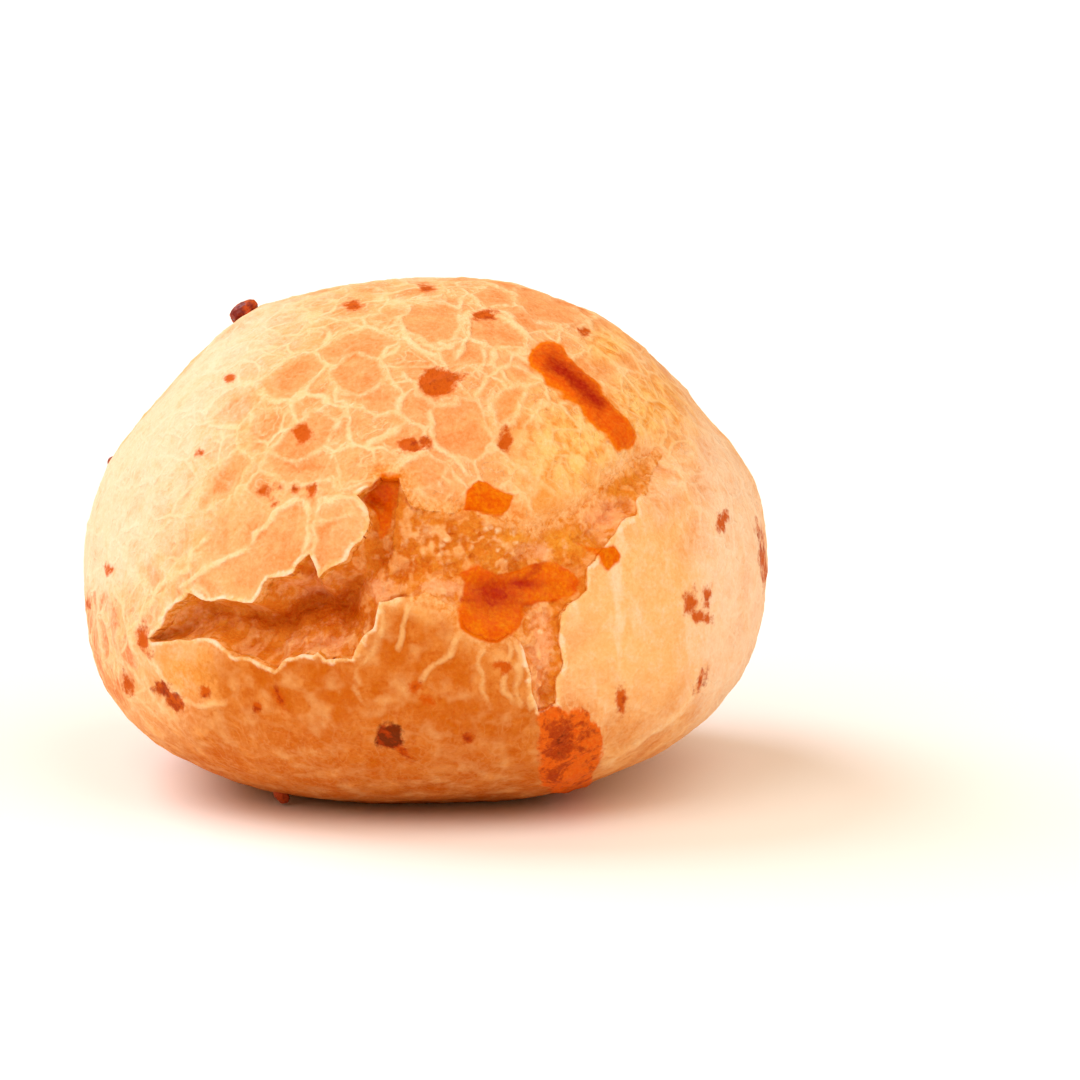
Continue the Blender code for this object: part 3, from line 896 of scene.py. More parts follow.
def crust_relief(skin, fields, ridges):
    """How far the crust stands out from the smooth body, and how it dives under the crumb in the tear."""
    across, up, front = show_face(skin)
    relief = np.where(front, lip_swell(across, up) - groove_depth(across, up), 0.0)
    relief += LIP_RISE * fields["lip"] * (1.0 + 0.6 * wave(skin, 2.2)) + RIM_HEIGHT * fields["rim"]
    relief += sum(height * ridges[name] for name, (height, _) in RIDGES.items())
    relief += sum(height * wave(skin, length, octaves) for height, length, octaves in CRUST_WAVES)
    relief += MELT_HEIGHT * smooth_step(fields["melt"] / 0.5)
    relief -= FLECK_SINK * smooth_step(0.5 + fields["fleck"] / 0.4)
    relief += smooth_step(fields["burn"] / 0.5 + 0.3) * (0.15 + 0.3 * wave(skin, 1.3, 3))
    return relief - (DIVE_DEPTH + gash_depth(across, up)) * fields["wall"]


def crust_piece():
    """The whole crust as one closed body, which dives under the crumb inside the tear."""
    directions, faces = crust_sphere()
    directions = snapped_to_lip(directions, SNAP_REACH)
    skin = bare_points(directions)
    fields, ridges = crust_fields(skin)
    relief = crust_relief(skin, fields, ridges) + leak_swelling(directions)
    points = body_points(directions, body_radius(directions) + relief)
    points[:, 2] = np.maximum(points[:, 2], 0.0)
    piece = new_mesh("crust", points, faces)
    for name, values in fields.items():
        store(piece, name, values)
    store(piece, "plain", points)
    store(piece, "tall", skin * TALL_SQUEEZE)
    store(piece, "slant", slant_place(skin, SLANT, 3.5))
    return piece, points


def burn_distance(points):
    """Distance inside the scorched leak low at the right, positive inside it."""
    across, up, front = wandering(points)
    inside = np.where(front, distance_inside(across, up, BURN), -FAR_AWAY)
    return np.clip(inside, -FIELD_REACH, FIELD_REACH)


def core_field(points):
    """How dark and red melted cheese is: in the big pool's middle and high in the streak, and along the
    pool's creases as painted shade.
    """
    across, up, front = show_face(points)
    creases = [falling(distance_to_line(across, up, line) / CREASE_WIDTH) for line in POOL_CREASES]
    creases = 0.6 * np.max(creases, axis=0)
    streak = 0.95 * falling(distance_to_line(across, up, STREAK_CORE) / STREAK_CORE_WIDTH)
    pools = patches(across, up, MELT_CORE_PATCHES)
    return np.where(front, np.max([pools, streak, creases], axis=0), 0.0)


def closed_to_waist(points, faces):
    """An open patch closed by triangles from its rim to the waist's middle, its new last point."""
    edges = np.concatenate([faces[:, [0, 1]], faces[:, [1, 2]], faces[:, [2, 0]]])
    keys = {(int(a), int(b)) for a, b in edges}
    rim = sorted((a, b) for a, b in keys if (b, a) not in keys)
    sides = np.array([(b, a, len(points)) for a, b in rim])
    tip = np.array([[0.0, 0.0, WAIST_LEVEL]])
    return np.concatenate([points, tip]), np.concatenate([faces, sides])


def crumb_fields(skin, torn, sharp):
    """What lies where on the crumb, for its relief and its material."""
    across, up, _ = show_face(skin)
    return {
        "melt": melt_distance(*wandering(skin)),
        "hollow": gash_depth(*wandering(skin)[:2]),
        "grain": 0.5 + 1.1 * wave(skin * GRAIN_SQUEEZE + 5.0, 0.95),
        "pore": smooth_step(wave(skin + 71.0, 1.1, 3) / 0.3 - 0.3),
        "smooth": patches(across, up, SMOOTH_PATCHES),
        "grainy": patches(across, up, GRAINY_PATCHES),
        "rosy": patches(across, up, ROSY_PATCHES),
        "painted_shade": patches(across, up, PAINTED_SHADE_PATCHES),
        "gold": patches(across, up, GOLDEN_PATCHES) * facing_share(skin),
        "soft_edge": (1.0 - sharp) * smooth_step(0.6 - torn / 1.2),
        "core": core_field(skin),
    }


def crumb_depth(skin, torn, sharp):
    """How deep the crumb lies below the crust: it sinks fast at sharp lips and ends under frayed ones."""
    across, up, _ = show_face(skin)
    run = SOFT_SINK_RUN + (SHARP_SINK_RUN - SOFT_SINK_RUN) * sharp
    depth = CRUMB_DEEP * smooth_step(torn / run) - CRUMB_PROUD * (1.0 - sharp)
    depth += 0.25 * sharp * smooth_step(1.0 - torn / 2.5)
    depth *= 1.0 - 0.55 * patches(across, up, STRIP_PATCHES)
    fray = 0.25 * wave(skin + 50.0, 1.4)
    depth += CRUMB_END * smooth_step((-torn - (0.45 + fray) * (1.0 - sharp)) / 0.6)
    return depth + groove_depth(across, up)


def crumb_relief(skin, fields):
    """The crumb's grains and pores, calm in the hollow and where it is smooth, and the raised melts."""
    rough = (0.12 + 0.24 * fields["grainy"]) * smooth_step(fields["grain"])
    rough += 0.16 * wave(skin, 0.9, 4) - 0.12 * fields["pore"]
    rough *= (1.0 - 0.55 * smooth_step(fields["hollow"] / 2.5 - 0.4)) * (1.0 - 0.6 * fields["smooth"])
    rough *= 1.0 - smooth_step(fields["melt"] / 0.4 + 0.3)
    pool = smooth_step(fields["melt"] / 0.6 + 0.2) * (0.22 + 0.16 * wave(skin + 12.0, 1.5))
    return rough + pool + UNDULATION_HEIGHT * wave(skin, UNDULATION_LENGTH)


def crumb_piece():
    """The torn crumb: a wedge of the roll whose outer face is the grainy, hollowed surface in the tear."""
    directions, faces = crumb_patch()
    skin = bare_points(directions)
    torn = tear_distance(skin)
    sharp = lip_share(*show_face(skin)[:2])
    fields = crumb_fields(skin, torn, sharp)
    relief = crumb_relief(skin, fields) - crumb_depth(skin, torn, sharp) - fields["hollow"]
    points, faces = closed_to_waist(body_points(directions, body_radius(directions) + relief), faces)
    piece = new_mesh("crumb", points, faces)
    for name, values in fields.items():
        store(piece, name, np.append(values, 0.0))
    store(piece, "plain", points)
    return piece


def bits_piece():
    """Small toasted bits that stand proud of the crust, each a closed lump."""
    points = []
    faces = []
    for azimuth, elevation, half_length, half_width, half_height, out in BITS:
        bm = bmesh.new()
        bmesh.ops.create_icosphere(bm, subdivisions=5, radius=1.0)
        ball, triangles = arrays_of(bm)
        bm.free()
        axis = unit_vector(azimuth, elevation)
        along = unit_vector(azimuth, elevation - 90.0)
        aside = np.cross(axis, along)
        ball = ball * (1.0 + 0.16 * wave(ball + azimuth, 0.9, 3))[:, None]
        halves = np.stack([along * half_length, aside * half_width, axis * half_height])
        lump = ball @ halves
        middle = bare_points(axis[None])[0] + axis * out
        faces.append(triangles + sum(len(part) for part in points))
        points.append(lump + middle)
    places = np.concatenate(points)
    places[:, 2] = np.maximum(places[:, 2], 0.0)
    piece = new_mesh("toasted_bits", places, np.concatenate(faces))
    store(piece, "plain", places)
    return piece


# ---------------- materials
def colour(red, green, blue):
    """Linear colour from the 0 to 255 values of a colour chip."""
    chip = np.array([red, green, blue]) / 255.0
    linear = np.where(chip <= 0.04045, chip / 12.92, ((chip + 0.055) / 1.055) ** 2.4)
    return (*[float(value) for value in linear], 1.0)


CREAM = colour(253, 221, 186)
CREAM_WARM = colour(248, 200, 132)
RIDGE = colour(253, 212, 160)
TAN_PALE = colour(246, 184, 124)
TAN_DEEP = colour(230, 145, 82)
PLATE = colour(248, 194, 126)
# golden shoulder: the pale gold serves as painted highlight, the deep gold as painted shade
AMBER = colour(234, 156, 68)
GOLD_PALE_LIT = colour(252, 204, 122)
GOLD_DEEP_SHADED = colour(234, 150, 52)
BROWN = colour(208, 114, 24)
BROWN_PALE = colour(230, 150, 66)
BROWN_DEEP = colour(194, 88, 2)
STAIN = colour(224, 112, 48)
FLECK_ORANGE = colour(202, 86, 2)
FLECK_RED = colour(162, 50, 4)
FLECK_DARK = colour(106, 34, 2)
MELT_ORANGE = colour(219, 98, 0)
MELT_AMBER = colour(233, 124, 4)
MELT_RED = colour(172, 36, 0)
STREAK_ORANGE = colour(224, 98, 12)
STREAK_RED = colour(164, 34, 6)
CRUMB = colour(224, 132, 38)
CRUMB_PALE = colour(249, 188, 122)
# painted highlight: the colour of the crumb's glints
CRUMB_GLINT = colour(255, 222, 172)
CRUMB_ROSY = colour(244, 174, 120)
CRUMB_DARK = colour(200, 94, 0)
# painted shade deep in the gash's hollow
CRUMB_HOLLOW_SHADE = colour(186, 80, 0)
CRUMB_GOLD = colour(232, 150, 44)
WALL_PALE = colour(240, 162, 88)
SCORCH = colour(230, 108, 26)
SCORCH_RED = colour(176, 66, 18)
SCORCH_DARK = colour(118, 36, 6)
BIT_RED = colour(120, 22, 8)
BIT_ORANGE = colour(196, 78, 16)
GLEAM = (1.0, 0.72, 0.45, 1.0)  # the crust's faint gloss is warm
# Noise lengths in millimetres, from the broadest to the finest, and how much each wobble moves an edge.
MOTTLE_LENGTH = 1.4
WOBBLE_LENGTH = 0.7
FINE_LENGTH = 0.45
GRIT_LENGTH = 0.32
CRUST_WOBBLE = 0.6
CRUMB_WOBBLE = 0.5
FINE_CONTRAST = 0.8
UPRIGHT_SQUEEZE = (1.0, 1.0, 0.28)
BROAD_NET = 3.3
CLOSE_NET = 1.45
GOLDEN_BLISTER = 1.9
CRUMB_GLINT_LENGTH = 0.75


class Graph:
    """Short names for the nodes that the materials are made of."""

    def __init__(self, name):
        self.material = bpy.data.materials.new(name)
        self.material.use_nodes = True
        self.tree = self.material.node_tree
        self.shader = self.tree.nodes["Principled BSDF"]

    def node(self, kind, inputs=(), **settings):
        """A new node with its settings, and its inputs linked or set by name or number."""
        made = self.tree.nodes.new(kind)
        for name, value in settings.items():
            setattr(made, name, value)
        for key, value in dict(inputs).items():
            if isinstance(value, bpy.types.NodeSocket):
                self.tree.links.new(value, made.inputs[key])
            else:
                made.inputs[key].default_value = value
        return made

    def field(self, name):
        """A number stored on the mesh."""
        return self.node("ShaderNodeAttribute", attribute_name=name).outputs["Fac"]

    def place(self, name):
        """A vector stored on the mesh."""
        return self.node("ShaderNodeAttribute", attribute_name=name).outputs["Vector"]

    def math(self, operation, a, b, clamp=False):
        """One sum of two numbers."""
        return self.node("ShaderNodeMath", {0: a, 1: b}, operation=operation, use_clamp=clamp).outputs[0]

    def less(self, a, b):
        """The first number less the second."""
        return self.math("SUBTRACT", a, b)

    def times(self, a, b):
        """The product of two numbers."""
        return self.math("MULTIPLY", a, b)

    def plus(self, a, b, share=1.0, clamp=False):
        """The first number and a share of the second, kept from 0 to 1 if clamped."""
        return self.math("ADD", a, b if share == 1.0 else self.times(b, share), clamp)

    def most(self, first, *others):
        """The largest of some numbers."""
        for other in others:
            first = self.math("MAXIMUM", first, other)
        return first

    def step(self, value, low, high, start=0.0, end=1.0):
        """Eases from start to end as the value goes from low to high."""
        inputs = {"Value": value, "From Min": low, "From Max": high, "To Min": start, "To Max": end}
        return self.node("ShaderNodeMapRange", inputs, interpolation_type="SMOOTHSTEP").outputs["Result"]

    def by_field(self, value, name, low, high, start=0.0, end=1.0):
        """The value times a step of a number stored on the mesh."""
        return self.times(value, self.step(self.field(name), low, high, start, end))

    def by_noise(self, value, place, length, low, high, start=0.0, end=1.0):
        """The value times a step of noise, so that it comes and goes."""
        return self.times(value, self.step(self.noise(place, length), low, high, start, end))

    def line(self, value, middle, half_width):
        """1 where the value is at its middle, falling to 0 a half width away."""
        away = self.math("ABSOLUTE", self.less(value, middle), 0.0)
        return self.step(away, 0.0, half_width, 1.0, 0.0)

    def noise(self, place, length, detail=2.0, roughness=0.5):
        """Noise of about one length in millimetres, from 0 to 1."""
        inputs = {"Vector": place, "Scale": 1.0 / length, "Detail": detail, "Roughness": roughness}
        return self.node("ShaderNodeTexNoise", inputs).outputs["Fac"]

    def warped(self, place, length, reach):
        """The place moved by up to a reach along waves of about one length."""
        inputs = {"Vector": place, "Scale": 1.0 / length, "Detail": 2.0}
        waves = self.node("ShaderNodeTexNoise", inputs).outputs["Color"]
        centred = self.node("ShaderNodeVectorMath", {0: waves, 1: (0.5, 0.5, 0.5)}, operation="SUBTRACT")
        inputs = {0: centred.outputs[0], "Scale": 2.0 * reach}
        scaled = self.node("ShaderNodeVectorMath", inputs, operation="SCALE")
        return self.node("ShaderNodeVectorMath", {0: place, 1: scaled.outputs[0]}).outputs[0]

    def edges(self, place, length):
        """Distance in millimetres to the nearest edge of cells of about one length."""
        inputs = {"Vector": place, "Scale": 1.0 / length}
        found = self.node("ShaderNodeTexVoronoi", inputs, feature="DISTANCE_TO_EDGE").outputs["Distance"]
        return self.times(found, length)

    def mix(self, share, a, b):
        """Colour a turned towards colour b by a share."""
        share_socket, a_socket, b_socket, colour_output = 0, 6, 7, 2
        inputs = {share_socket: share, a_socket: a, b_socket: b}
        return self.node("ShaderNodeMix", inputs, data_type="RGBA").outputs[colour_output]

    def toast(self, base, amount, strength):
        """The colour made paler or more toasted by an amount that swings about a half."""
        power = self.plus(self.times(self.less(0.5, amount), strength), 1.0)
        return self.node("ShaderNodeGamma", {"Color": base, "Gamma": power}).outputs[0]

    def finish(self, base, rough, height, **uniform):
        """Connects the colour, roughness and bump, and sets what is the same all over."""
        self.tree.links.new(base, self.shader.inputs["Base Color"])
        self.tree.links.new(rough, self.shader.inputs["Roughness"])
        bump = self.node("ShaderNodeBump", {"Height": height, "Distance": MM, "Strength": 1.0})
        self.tree.links.new(bump.outputs["Normal"], self.shader.inputs["Normal"])
        for name, value in uniform.items():
            self.shader.inputs[name.replace("_", " ")].default_value = value
        return self.material


class BreadGraph(Graph):
    """A graph with the noises that crust and crumb share; swing, fine and wobble swing about 0."""

    def __init__(self, name, wobble_share):
        super().__init__(name)
        self.plain = self.place("plain")
        self.mottle = self.noise(self.plain, MOTTLE_LENGTH, 4.0, 0.62)
        self.swing = self.less(self.mottle, 0.5)
        self.fine = self.less(self.noise(self.plain, FINE_LENGTH, 3.0, 0.6), 0.5)
        self.grit = self.noise(self.plain, GRIT_LENGTH, 3.0, 0.6)
        self.wobble = self.times(self.less(self.noise(self.plain, WOBBLE_LENGTH, 3.0), 0.5), wobble_share)

    def blurred(self, value, swing, fine):
        """A number from 0 to 1, made uneven by shares of the swing and the fine noise."""
        return self.plus(self.plus(value, self.swing, swing), self.fine, fine, clamp=True)


def pool_colour(g, core):
    """Melted cheese: amber lobes over orange, dark red in the middle of the pool."""
    lobes = g.step(g.plus(g.mottle, g.fine, 0.3), 0.42, 0.6)
    pool = g.mix(g.times(lobes, 0.65), MELT_ORANGE, MELT_AMBER)
    return g.mix(core, pool, MELT_RED)


def torn_edge_colour(g):
    """Where crust frays into crumb; the same on both pieces, so that no seam shows."""
    return g.mix(g.step(g.plus(g.mottle, g.fine), 0.25, 0.75), CRUMB, CRUMB_PALE)


def deep_share(g):
    """How deep the tan is inside the crackle's cells, which each have their own tone."""
    inside = g.step(g.plus(g.field("edge"), g.swing, 2.4), 0.2, 1.5)
    inside = g.by_field(inside, "busy", 0.0, 1.0, 1.0, 0.5)
    inside = g.by_field(inside, "cell_tone", 0.0, 1.0, 0.5, 1.0)
    return g.plus(inside, g.fine, clamp=True)


def filled_share(g):
    """Where a cell is filled by a plate."""
    filled = g.step(g.plus(g.field("edge"), g.wobble, 0.8), 0.12, 0.5)
    return g.times(filled, g.field("plated"))


def golden_shoulder(g, base):
    """The golden shoulder: pale gold on small upright blisters as painted highlight, deeper gold in pits and
    along blister edges as painted shade.
    """
    tall = g.place("tall")
    pits = g.plus(g.noise(tall, 1.6, 2.0, 0.6), g.fine, 0.1)
    blister = g.step(g.edges(g.warped(tall, 1.2, 0.35), GOLDEN_BLISTER), 0.04, 0.5, 0.13, -0.05)
    golden = g.mix(g.step(g.plus(pits, blister), 0.42, 0.7), GOLD_PALE_LIT, GOLD_DEEP_SHADED)
    return g.mix(g.field("golden"), base, golden)


def smooth_plates(g, base, upright):
    """Smooth plates with soft upright pleats, and amber ones."""
    calm = g.plus(g.times(g.field("plate"), 0.85), g.fine, 0.3, clamp=True)
    base = g.mix(calm, base, PLATE)
    pleats = g.step(g.noise(g.warped(upright, 2.0, 0.4), 1.6, 2.0), 0.5, 0.72)
    base = g.mix(g.times(pleats, g.times(g.field("plate"), 0.6)), base, CREAM)
    return g.mix(g.times(g.field("amber"), 0.95), base, AMBER)


def pale_sides(g, base, tanned):
    """The pale cream of the sides, less of it where the crust is tanned."""
    pale = g.less(g.plus(g.field("pale"), g.swing, 1.3), g.times(tanned, 0.5))
    pale = g.plus(pale, g.fine, 0.5, clamp=True)
    return g.mix(g.times(pale, 0.9), base, CREAM)


def browned_and_shaded_foot(g, base, deep):
    """The browned foot, darker partly as painted shade, with its blotches, dark specks and a few paler spots
    of painted highlight.
    """
    brown = g.plus(g.field("brown"), g.swing, 0.5, clamp=True)
    blotch = g.plus(g.noise(g.plain, 2.6, 4.0, 0.55), g.fine, 0.2)
    foot = g.plus(g.step(blotch, 0.38, 0.62), deep, -0.2)
    base = g.mix(brown, base, g.mix(foot, BROWN, BROWN_PALE))
    base = g.mix(g.step(brown, 0.75, 1.18), base, BROWN_DEEP)
    specks = g.times(g.step(g.noise(g.plain, 0.6), 0.6, 0.7), g.times(brown, 0.5))
    base = g.mix(specks, base, BROWN_DEEP)
    # painted highlight: a few paler warm spots on the browned foot
    foot_highlights = g.step(g.noise(g.plain, 2.0), 0.46, 0.74, 0.0, 0.35)
    return g.mix(g.times(foot_highlights, brown), base, CREAM_WARM)


def fine_net(g, filled, upright):
    """Fine crackle over the crust: soft folds round closed plates, with smaller ones between."""
    slant = g.place("slant")
    loose = g.warped(g.warped(g.plain, 3.0, 0.9), 0.7, 0.12)
    apart = g.edges(loose, BROAD_NET)
    open_net = g.by_noise(g.step(apart, 0.03, 0.32, 1.0, 0.0), g.plain, 2.7, 0.34, 0.58, 0.2, 0.85)
    beside = g.line(g.plus(apart, g.wobble, 1.2), 0.7, 0.16)
    beside = g.by_noise(beside, g.plain, 2.1, 0.42, 0.62, 0.0, 0.6)
    close_net = g.step(g.edges(loose, CLOSE_NET), 0.01, 0.2, 1.0, 0.0)
    close_net = g.by_noise(close_net, slant, 1.9, 0.42, 0.66, 0.0, 0.55)
    streaks = g.line(g.noise(slant, 0.9), 0.5, 0.03)
    streaks = g.by_noise(streaks, g.plain, 3.1, 0.4, 0.6, 0.0, 0.45)
    net = g.by_field(g.most(open_net, beside, close_net, streaks), "flat", 0.1, 0.9, 1.0, 0.14)
    net = g.times(net, g.step(filled, 0.1, 0.9, 1.0, 0.25))
    folds = g.line(g.noise(g.warped(upright, 1.5, 0.3), 1.3), 0.5, 0.045)
    folds = g.by_field(g.times(folds, g.field("upright")), "flat", 0.1, 0.9, 0.6, 0.15)
    net = g.by_field(g.most(net, folds), "plate", 0.1, 0.8, 1.0, 0.14)
    return g.by_field(net, "brown", 0.1, 0.9, 1.0, 0.2)


def raised_crests(g):
    """Crests of the crackle, and the rims of the plates."""
    crest = g.step(g.plus(g.field("crest"), g.wobble, 0.9, clamp=True), 0.2, 0.9)
    crest = g.by_field(crest, "brown", 0.2, 1.0, 0.8, 0.35)
    rim = g.step(g.plus(g.field("rim"), g.wobble, 0.9), 0.12, 0.95)
    rim = g.by_field(g.plus(rim, g.swing, 0.8, clamp=True), "rim", 0.05, 0.4)
    rim = g.by_field(rim, "brown", 0.2, 1.0, 0.9, 0.62)
    return g.most(crest, rim)


def with_crests(g, base, crest):
    """Pale crests, warmer on the golden shoulder and the foot, and reddish stains between them."""
    warm = g.most(g.field("golden"), g.field("brown"))
    light = g.mix(g.step(g.field("pale"), 0.2, 0.9), RIDGE, CREAM)
    base = g.mix(crest, base, g.mix(warm, light, CREAM_WARM))
    stain = g.step(g.plus(g.field("stained"), g.swing, 3.0), 0.75, 1.3, 0.0, 0.7)
    return g.mix(g.times(stain, g.less(1.0, crest)), base, STAIN)


def torn_lips(g, base):
    """The frayed edge of the tear, its pale lips and the broken wall below them."""
    base = g.mix(g.field("frayed"), base, torn_edge_colour(g))
    lip = g.step(g.plus(g.field("lip"), g.wobble, 1.4), 0.3, 0.95)
    lip = g.times(lip, g.step(g.mottle, 0.3, 0.55, 0.4, 0.95))
    base = g.mix(lip, base, g.mix(g.step(g.swing, -0.1, 0.15), CREAM_WARM, CREAM))
    wall = g.mix(g.step(g.plus(g.fine, g.swing), -0.1, 0.12), CRUMB, WALL_PALE)
    return g.mix(g.step(g.field("wall"), 0.01, 0.08), base, wall)


def with_flecks(g, base):
    """The toasted flecks with ragged edges, and the share of the surface that they cover."""
    ragged = g.times(g.less(g.noise(g.plain, 1.1, 4.0, 0.7), 0.5), 1.5)
    fleck = g.plus(g.field("fleck"), g.plus(ragged, g.wobble, 0.6))
    strong = g.blurred(g.plus(g.field("dark"), g.step(fleck, 0.0, 0.8, -0.1, 0.14)), 2.0, 1.2)
    toasted = g.mix(g.step(strong, 0.15, 0.7), FLECK_ORANGE, FLECK_RED)
    toasted = g.mix(g.step(strong, 0.65, 1.05), toasted, FLECK_DARK)
    marked = g.step(fleck, -0.25, 0.2, 0.0, 0.96)
    return g.mix(marked, base, toasted), marked


def with_melt(g, base):
    """Melted cheese in pools and in the streak, and the share of the surface that it covers."""
    melt = g.plus(g.field("melt"), g.wobble, 0.8)
    melted = g.step(melt, -0.1, 0.2)
    core = g.blurred(g.field("core"), 1.6, 0.5)
    streak = g.mix(core, g.mix(g.step(melt, 0.0, 0.6), MELT_AMBER, STREAK_ORANGE), STREAK_RED)
    return g.mix(melted, base, g.mix(g.field("streak"), pool_colour(g, core), streak)), melted


def scorched_leak(g, base):
    """The scorched leak: orange, red and nearly black."""
    char = g.blurred(g.times(g.field("scorch"), 0.6), 2.2, 1.2)
    scorched = g.mix(g.step(char, 0.0, 0.55), SCORCH, SCORCH_RED)
    scorched = g.mix(g.step(char, 0.7, 1.1), scorched, SCORCH_DARK)
    return g.mix(g.step(g.plus(g.field("burn"), g.wobble, 1.6), -0.15, 0.2), base, scorched)


def crust_material():
    """Baked crust: pale crests over tan cells, browner and darker towards the base, partly as painted shade,
    with cheese and flecks.
    """
    g = BreadGraph("crust", CRUST_WOBBLE)
    inputs = {0: g.plain, 1: UPRIGHT_SQUEEZE}
    upright = g.node("ShaderNodeVectorMath", inputs, operation="MULTIPLY").outputs[0]
    deep = deep_share(g)
    filled = filled_share(g)
    tanned = g.times(g.field("tanned"), g.step(g.mottle, 0.3, 0.65, 0.3, 1.0))
    tanned = g.most(tanned, g.times(filled, 0.6))
    base = g.mix(g.most(deep, tanned), TAN_PALE, TAN_DEEP)
    base = golden_shoulder(g, base)
    base = smooth_plates(g, base, upright)
    base = pale_sides(g, base, tanned)
    base = browned_and_shaded_foot(g, base, deep)
    crest = g.most(raised_crests(g), fine_net(g, filled, upright))
    base = with_crests(g, base, crest)
    base = torn_lips(g, base)
    base, marked = with_flecks(g, base)
    base, melted = with_melt(g, base)
    base = scorched_leak(g, base)
    contrast = g.step(g.field("brown"), 0.2, 0.9, FINE_CONTRAST, 0.5 * FINE_CONTRAST)
    contrast = g.times(contrast, g.step(marked, 0.0, 1.0, 1.0, 0.2))
    base = g.toast(base, g.plus(g.grit, g.swing, 0.6), contrast)
    rough = g.less(0.62, g.times(melted, 0.2))
    height = g.plus(g.times(crest, 0.1), g.less(g.grit, 0.5), 0.12)
    height = g.times(g.plus(height, g.swing, 0.22), g.step(melted, 0.0, 1.0, 1.0, 0.35))
    return g.finish(base, rough, height, Specular_IOR_Level=0.05, Specular_Tint=GLEAM)


def crumb_tones(g):
    """The crumb's broad colours: orange-brown, darker at random and with painted shade in the gash and
    hollows, with golden and rosy ones.
    """
    slow = g.less(g.noise(g.plain, 2.6, 3.0, 0.6), 0.5)
    # painted shade: the crumb is darkened in the painted shade patches, and at random by slow noise
    dark = g.plus(g.plus(g.field("painted_shade"), slow, 2.6), g.swing, 1.2, clamp=True)
    base = g.mix(dark, CRUMB, CRUMB_DARK)
    gold = g.most(g.times(g.field("gold"), 0.8), g.field("smooth"))
    base = g.mix(gold, base, CRUMB_GOLD)
    rosy = g.blurred(g.field("rosy"), 1.8, 1.0)
    return g.mix(g.step(rosy, 0.1, 0.8, 0.0, 0.85), base, CRUMB_ROSY)


def with_grains(g, base):
    """Pale moist grains over the crumb, light dots as painted highlight, painted shade in the dark pores,
    and deeper painted shade in the hollow.
    """
    grain = g.step(g.plus(g.field("grain"), g.fine, 0.5), 0.42, 0.95)
    grain = g.by_field(grain, "grainy", 0.0, 0.8, 0.4, 0.95)
    grain = g.by_field(grain, "smooth", 0.2, 0.8, 1.0, 0.15)
    # painted shade: the pale grains fade deep in the gash's hollow
    grain = g.by_field(grain, "hollow", 0.8, 2.6, 1.0, 0.12)
    base = g.mix(grain, base, CRUMB_PALE)
    # painted highlight: small light dots stand for glints on the moist grains
    inputs = {"Vector": g.warped(g.plain, 0.8, 0.2), "Scale": 1.0 / CRUMB_GLINT_LENGTH}
    glints = g.step(g.node("ShaderNodeTexVoronoi", inputs).outputs["Distance"], 0.12, 0.5, 1.0, 0.0)
    glints = g.by_field(glints, "grainy", 0.15, 0.8, 0.0, 0.8)
    glints = g.by_noise(glints, g.plain, 1.3, 0.42, 0.6)
    base = g.mix(glints, base, CRUMB_GLINT)
    # painted shade: the crumb darkens in its sunken pores
    pore = g.plus(g.field("pore"), g.fine, 0.8)
    base = g.mix(g.step(pore, 0.3, 1.0, 0.0, 0.35), base, CRUMB_DARK)
    # painted shade: the crumb turns darker deep in the gash's hollow
    return g.mix(g.step(g.field("hollow"), 1.4, 3.8, 0.0, 0.5), base, CRUMB_HOLLOW_SHADE)


def crumb_material():
    """Torn crumb: orange-brown with painted shade deeper in the hollow, with pale moist grains and painted
    highlights, and melted cheese.
    """
    g = BreadGraph("crumb", CRUMB_WOBBLE)
    base = with_grains(g, crumb_tones(g))
    base = g.mix(g.field("soft_edge"), base, torn_edge_colour(g))
    melted = g.step(g.plus(g.field("melt"), g.wobble), -0.1, 0.2)
    base = g.mix(melted, base, pool_colour(g, g.blurred(g.field("core"), 1.6, 0.5)))
    base = g.toast(base, g.plus(g.grit, g.swing, 0.6), FINE_CONTRAST)
    rough = g.less(0.55, g.times(melted, 0.2))
    height = g.plus(g.times(g.less(g.grit, 0.5), 0.14), g.swing, 0.25)
    height = g.times(height, g.step(melted, 0.0, 1.0, 1.0, 0.4))
    return g.finish(base, rough, height, Specular_IOR_Level=0.15, Specular_Tint=GLEAM)


def bits_material():
    """Dark red toasted cheese with orange hollows."""
    g = Graph("toasted_bits")
    mottle = g.noise(g.place("plain"), 0.9, 3.0, 0.6)
    base = g.mix(g.step(mottle, 0.4, 0.62), BIT_RED, BIT_ORANGE)
    rough = g.step(mottle, 0.3, 0.7, 0.35, 0.55)
    return g.finish(base, rough, g.times(mottle, 0.2), Specular_IOR_Level=0.3)


# ---------------- studio
VIEW_ELEVATION = 10.0
LENS = 180.0
SENSOR = 36.0
FRAME_WIDTH = 94.7
AIM = (10.0, 0.0, 20.8)
SURROUND = (1.0, 0.66, 0.36, 1.0)
SURROUND_STRENGTH = 0.52
SOFT_BOXES = [  # name, azimuth, elevation, softness in degrees, strength, tint
    ("key", 152.0, 45.0, 40.0, 1.6, (1.0, 1.03, 1.16)),
    ("right", -35.0, 48.0, 60.0, 1.12, (1.0, 0.98, 0.94)),
    ("left", -135.0, 45.0, 50.0, 1.12, (1.0, 0.98, 0.94)),
]
FLOOR_SIZE = 6.0  # metres
FLOOR_WHITE = (0.98, 0.98, 0.98, 1.0)


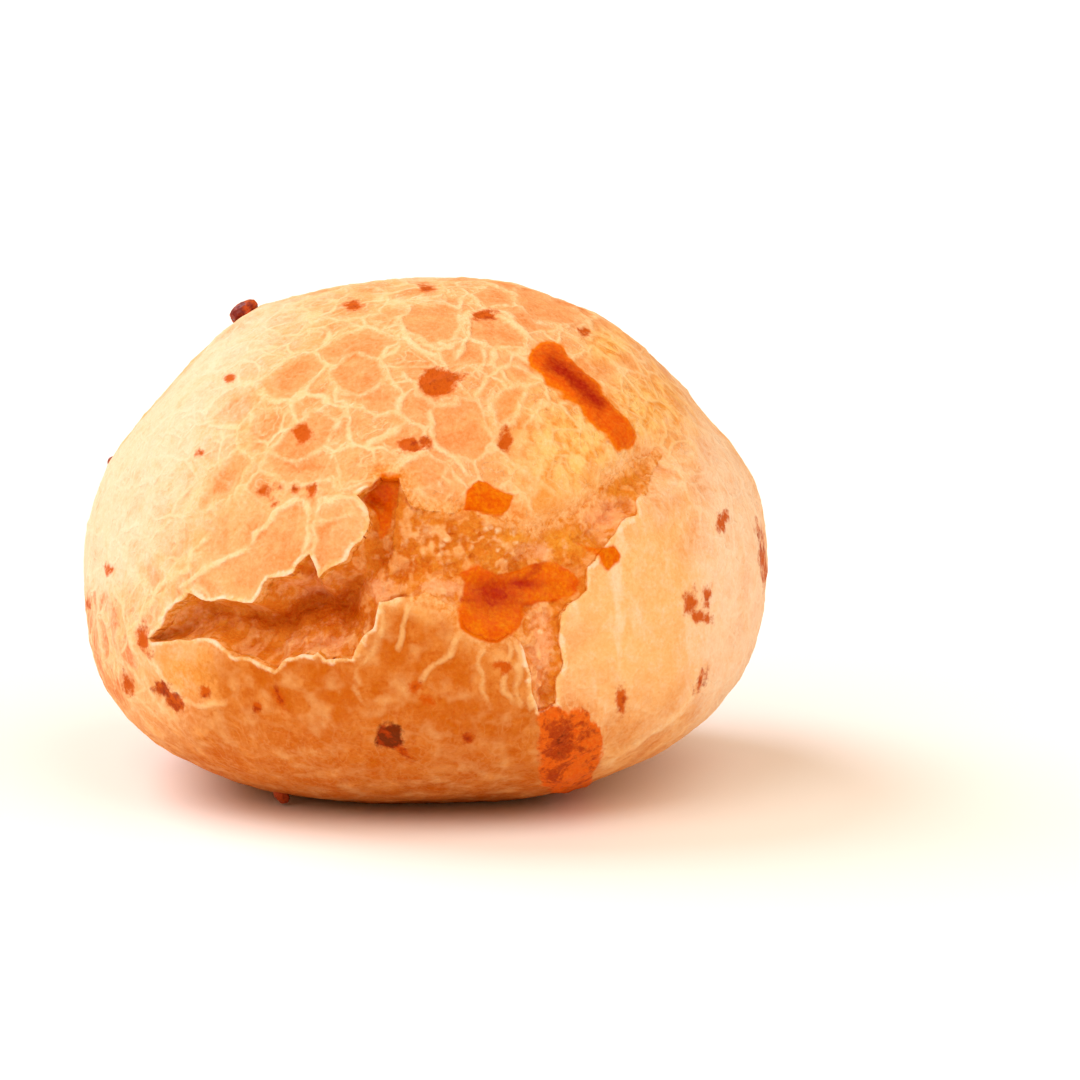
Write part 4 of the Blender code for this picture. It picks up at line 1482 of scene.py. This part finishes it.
def add_camera():
    """A long lens at the height and distance that frame the roll left of the middle."""
    data = bpy.data.cameras.new("camera")
    data.lens = LENS
    data.sensor_width = SENSOR
    data.clip_start = 0.01
    camera = bpy.data.objects.new("camera", data)
    bpy.context.scene.collection.objects.link(camera)
    away = FRAME_WIDTH * LENS / SENSOR * MM
    aim = Vector(AIM) * MM
    tilt = math.radians(VIEW_ELEVATION)
    camera.location = aim + away * Vector((0.0, -math.cos(tilt), math.sin(tilt)))
    camera.rotation_euler = (math.radians(90.0) - tilt, 0.0, 0.0)
    bpy.context.scene.camera = camera


def add_sun(name, azimuth, elevation, softness, strength, tint):
    """A distant soft box at an azimuth and elevation in degrees, as wide as its softness."""
    data = bpy.data.lights.new(name, "SUN")
    data.angle = math.radians(softness)
    data.energy = strength
    data.color = tint
    light = bpy.data.objects.new(name, data)
    bpy.context.scene.collection.objects.link(light)
    light.rotation_euler = Vector(unit_vector(azimuth, elevation)).to_track_quat("Z", "Y").to_euler()


def add_studio():
    """White floor, soft boxes behind and above, and a warm surround that fills the shadow."""
    world = bpy.data.worlds.new("surround")
    world.use_nodes = True
    background = world.node_tree.nodes["Background"]
    background.inputs["Color"].default_value = SURROUND
    background.inputs["Strength"].default_value = SURROUND_STRENGTH
    bpy.context.scene.world = world
    for name, azimuth, elevation, softness, strength, tint in SOFT_BOXES:
        add_sun(name, azimuth, elevation, softness, strength, tint)
    bpy.ops.mesh.primitive_plane_add(size=FLOOR_SIZE, location=(0.0, 0.0, 0.0))
    floor = bpy.context.object
    floor.name = "floor"
    paint = bpy.data.materials.new("floor")
    paint.use_nodes = True
    shader = paint.node_tree.nodes["Principled BSDF"]
    shader.inputs["Base Color"].default_value = FLOOR_WHITE
    shader.inputs["Roughness"].default_value = 0.9
    floor.data.materials.append(paint)
    bpy.context.scene.view_settings.view_transform = "Standard"


def centre_on_base(pieces, points):
    """Moves the pieces sideways so that the middle of the roll's box is over the origin, as in the CAD."""
    middle = 0.5 * (points.min(axis=0) + points.max(axis=0)) * MM
    for piece in pieces:
        piece.data.transform(Matrix.Translation((-middle[0], -middle[1], 0.0)))


crust, crust_points = crust_piece()
crumb = crumb_piece()
bits = bits_piece()
centre_on_base([crust, crumb, bits], crust_points)
crust.data.materials.append(crust_material())
crumb.data.materials.append(crumb_material())
bits.data.materials.append(bits_material())
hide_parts("bun")
for piece in (crust, crumb, bits):
    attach(piece, "root")
add_camera()
add_studio()
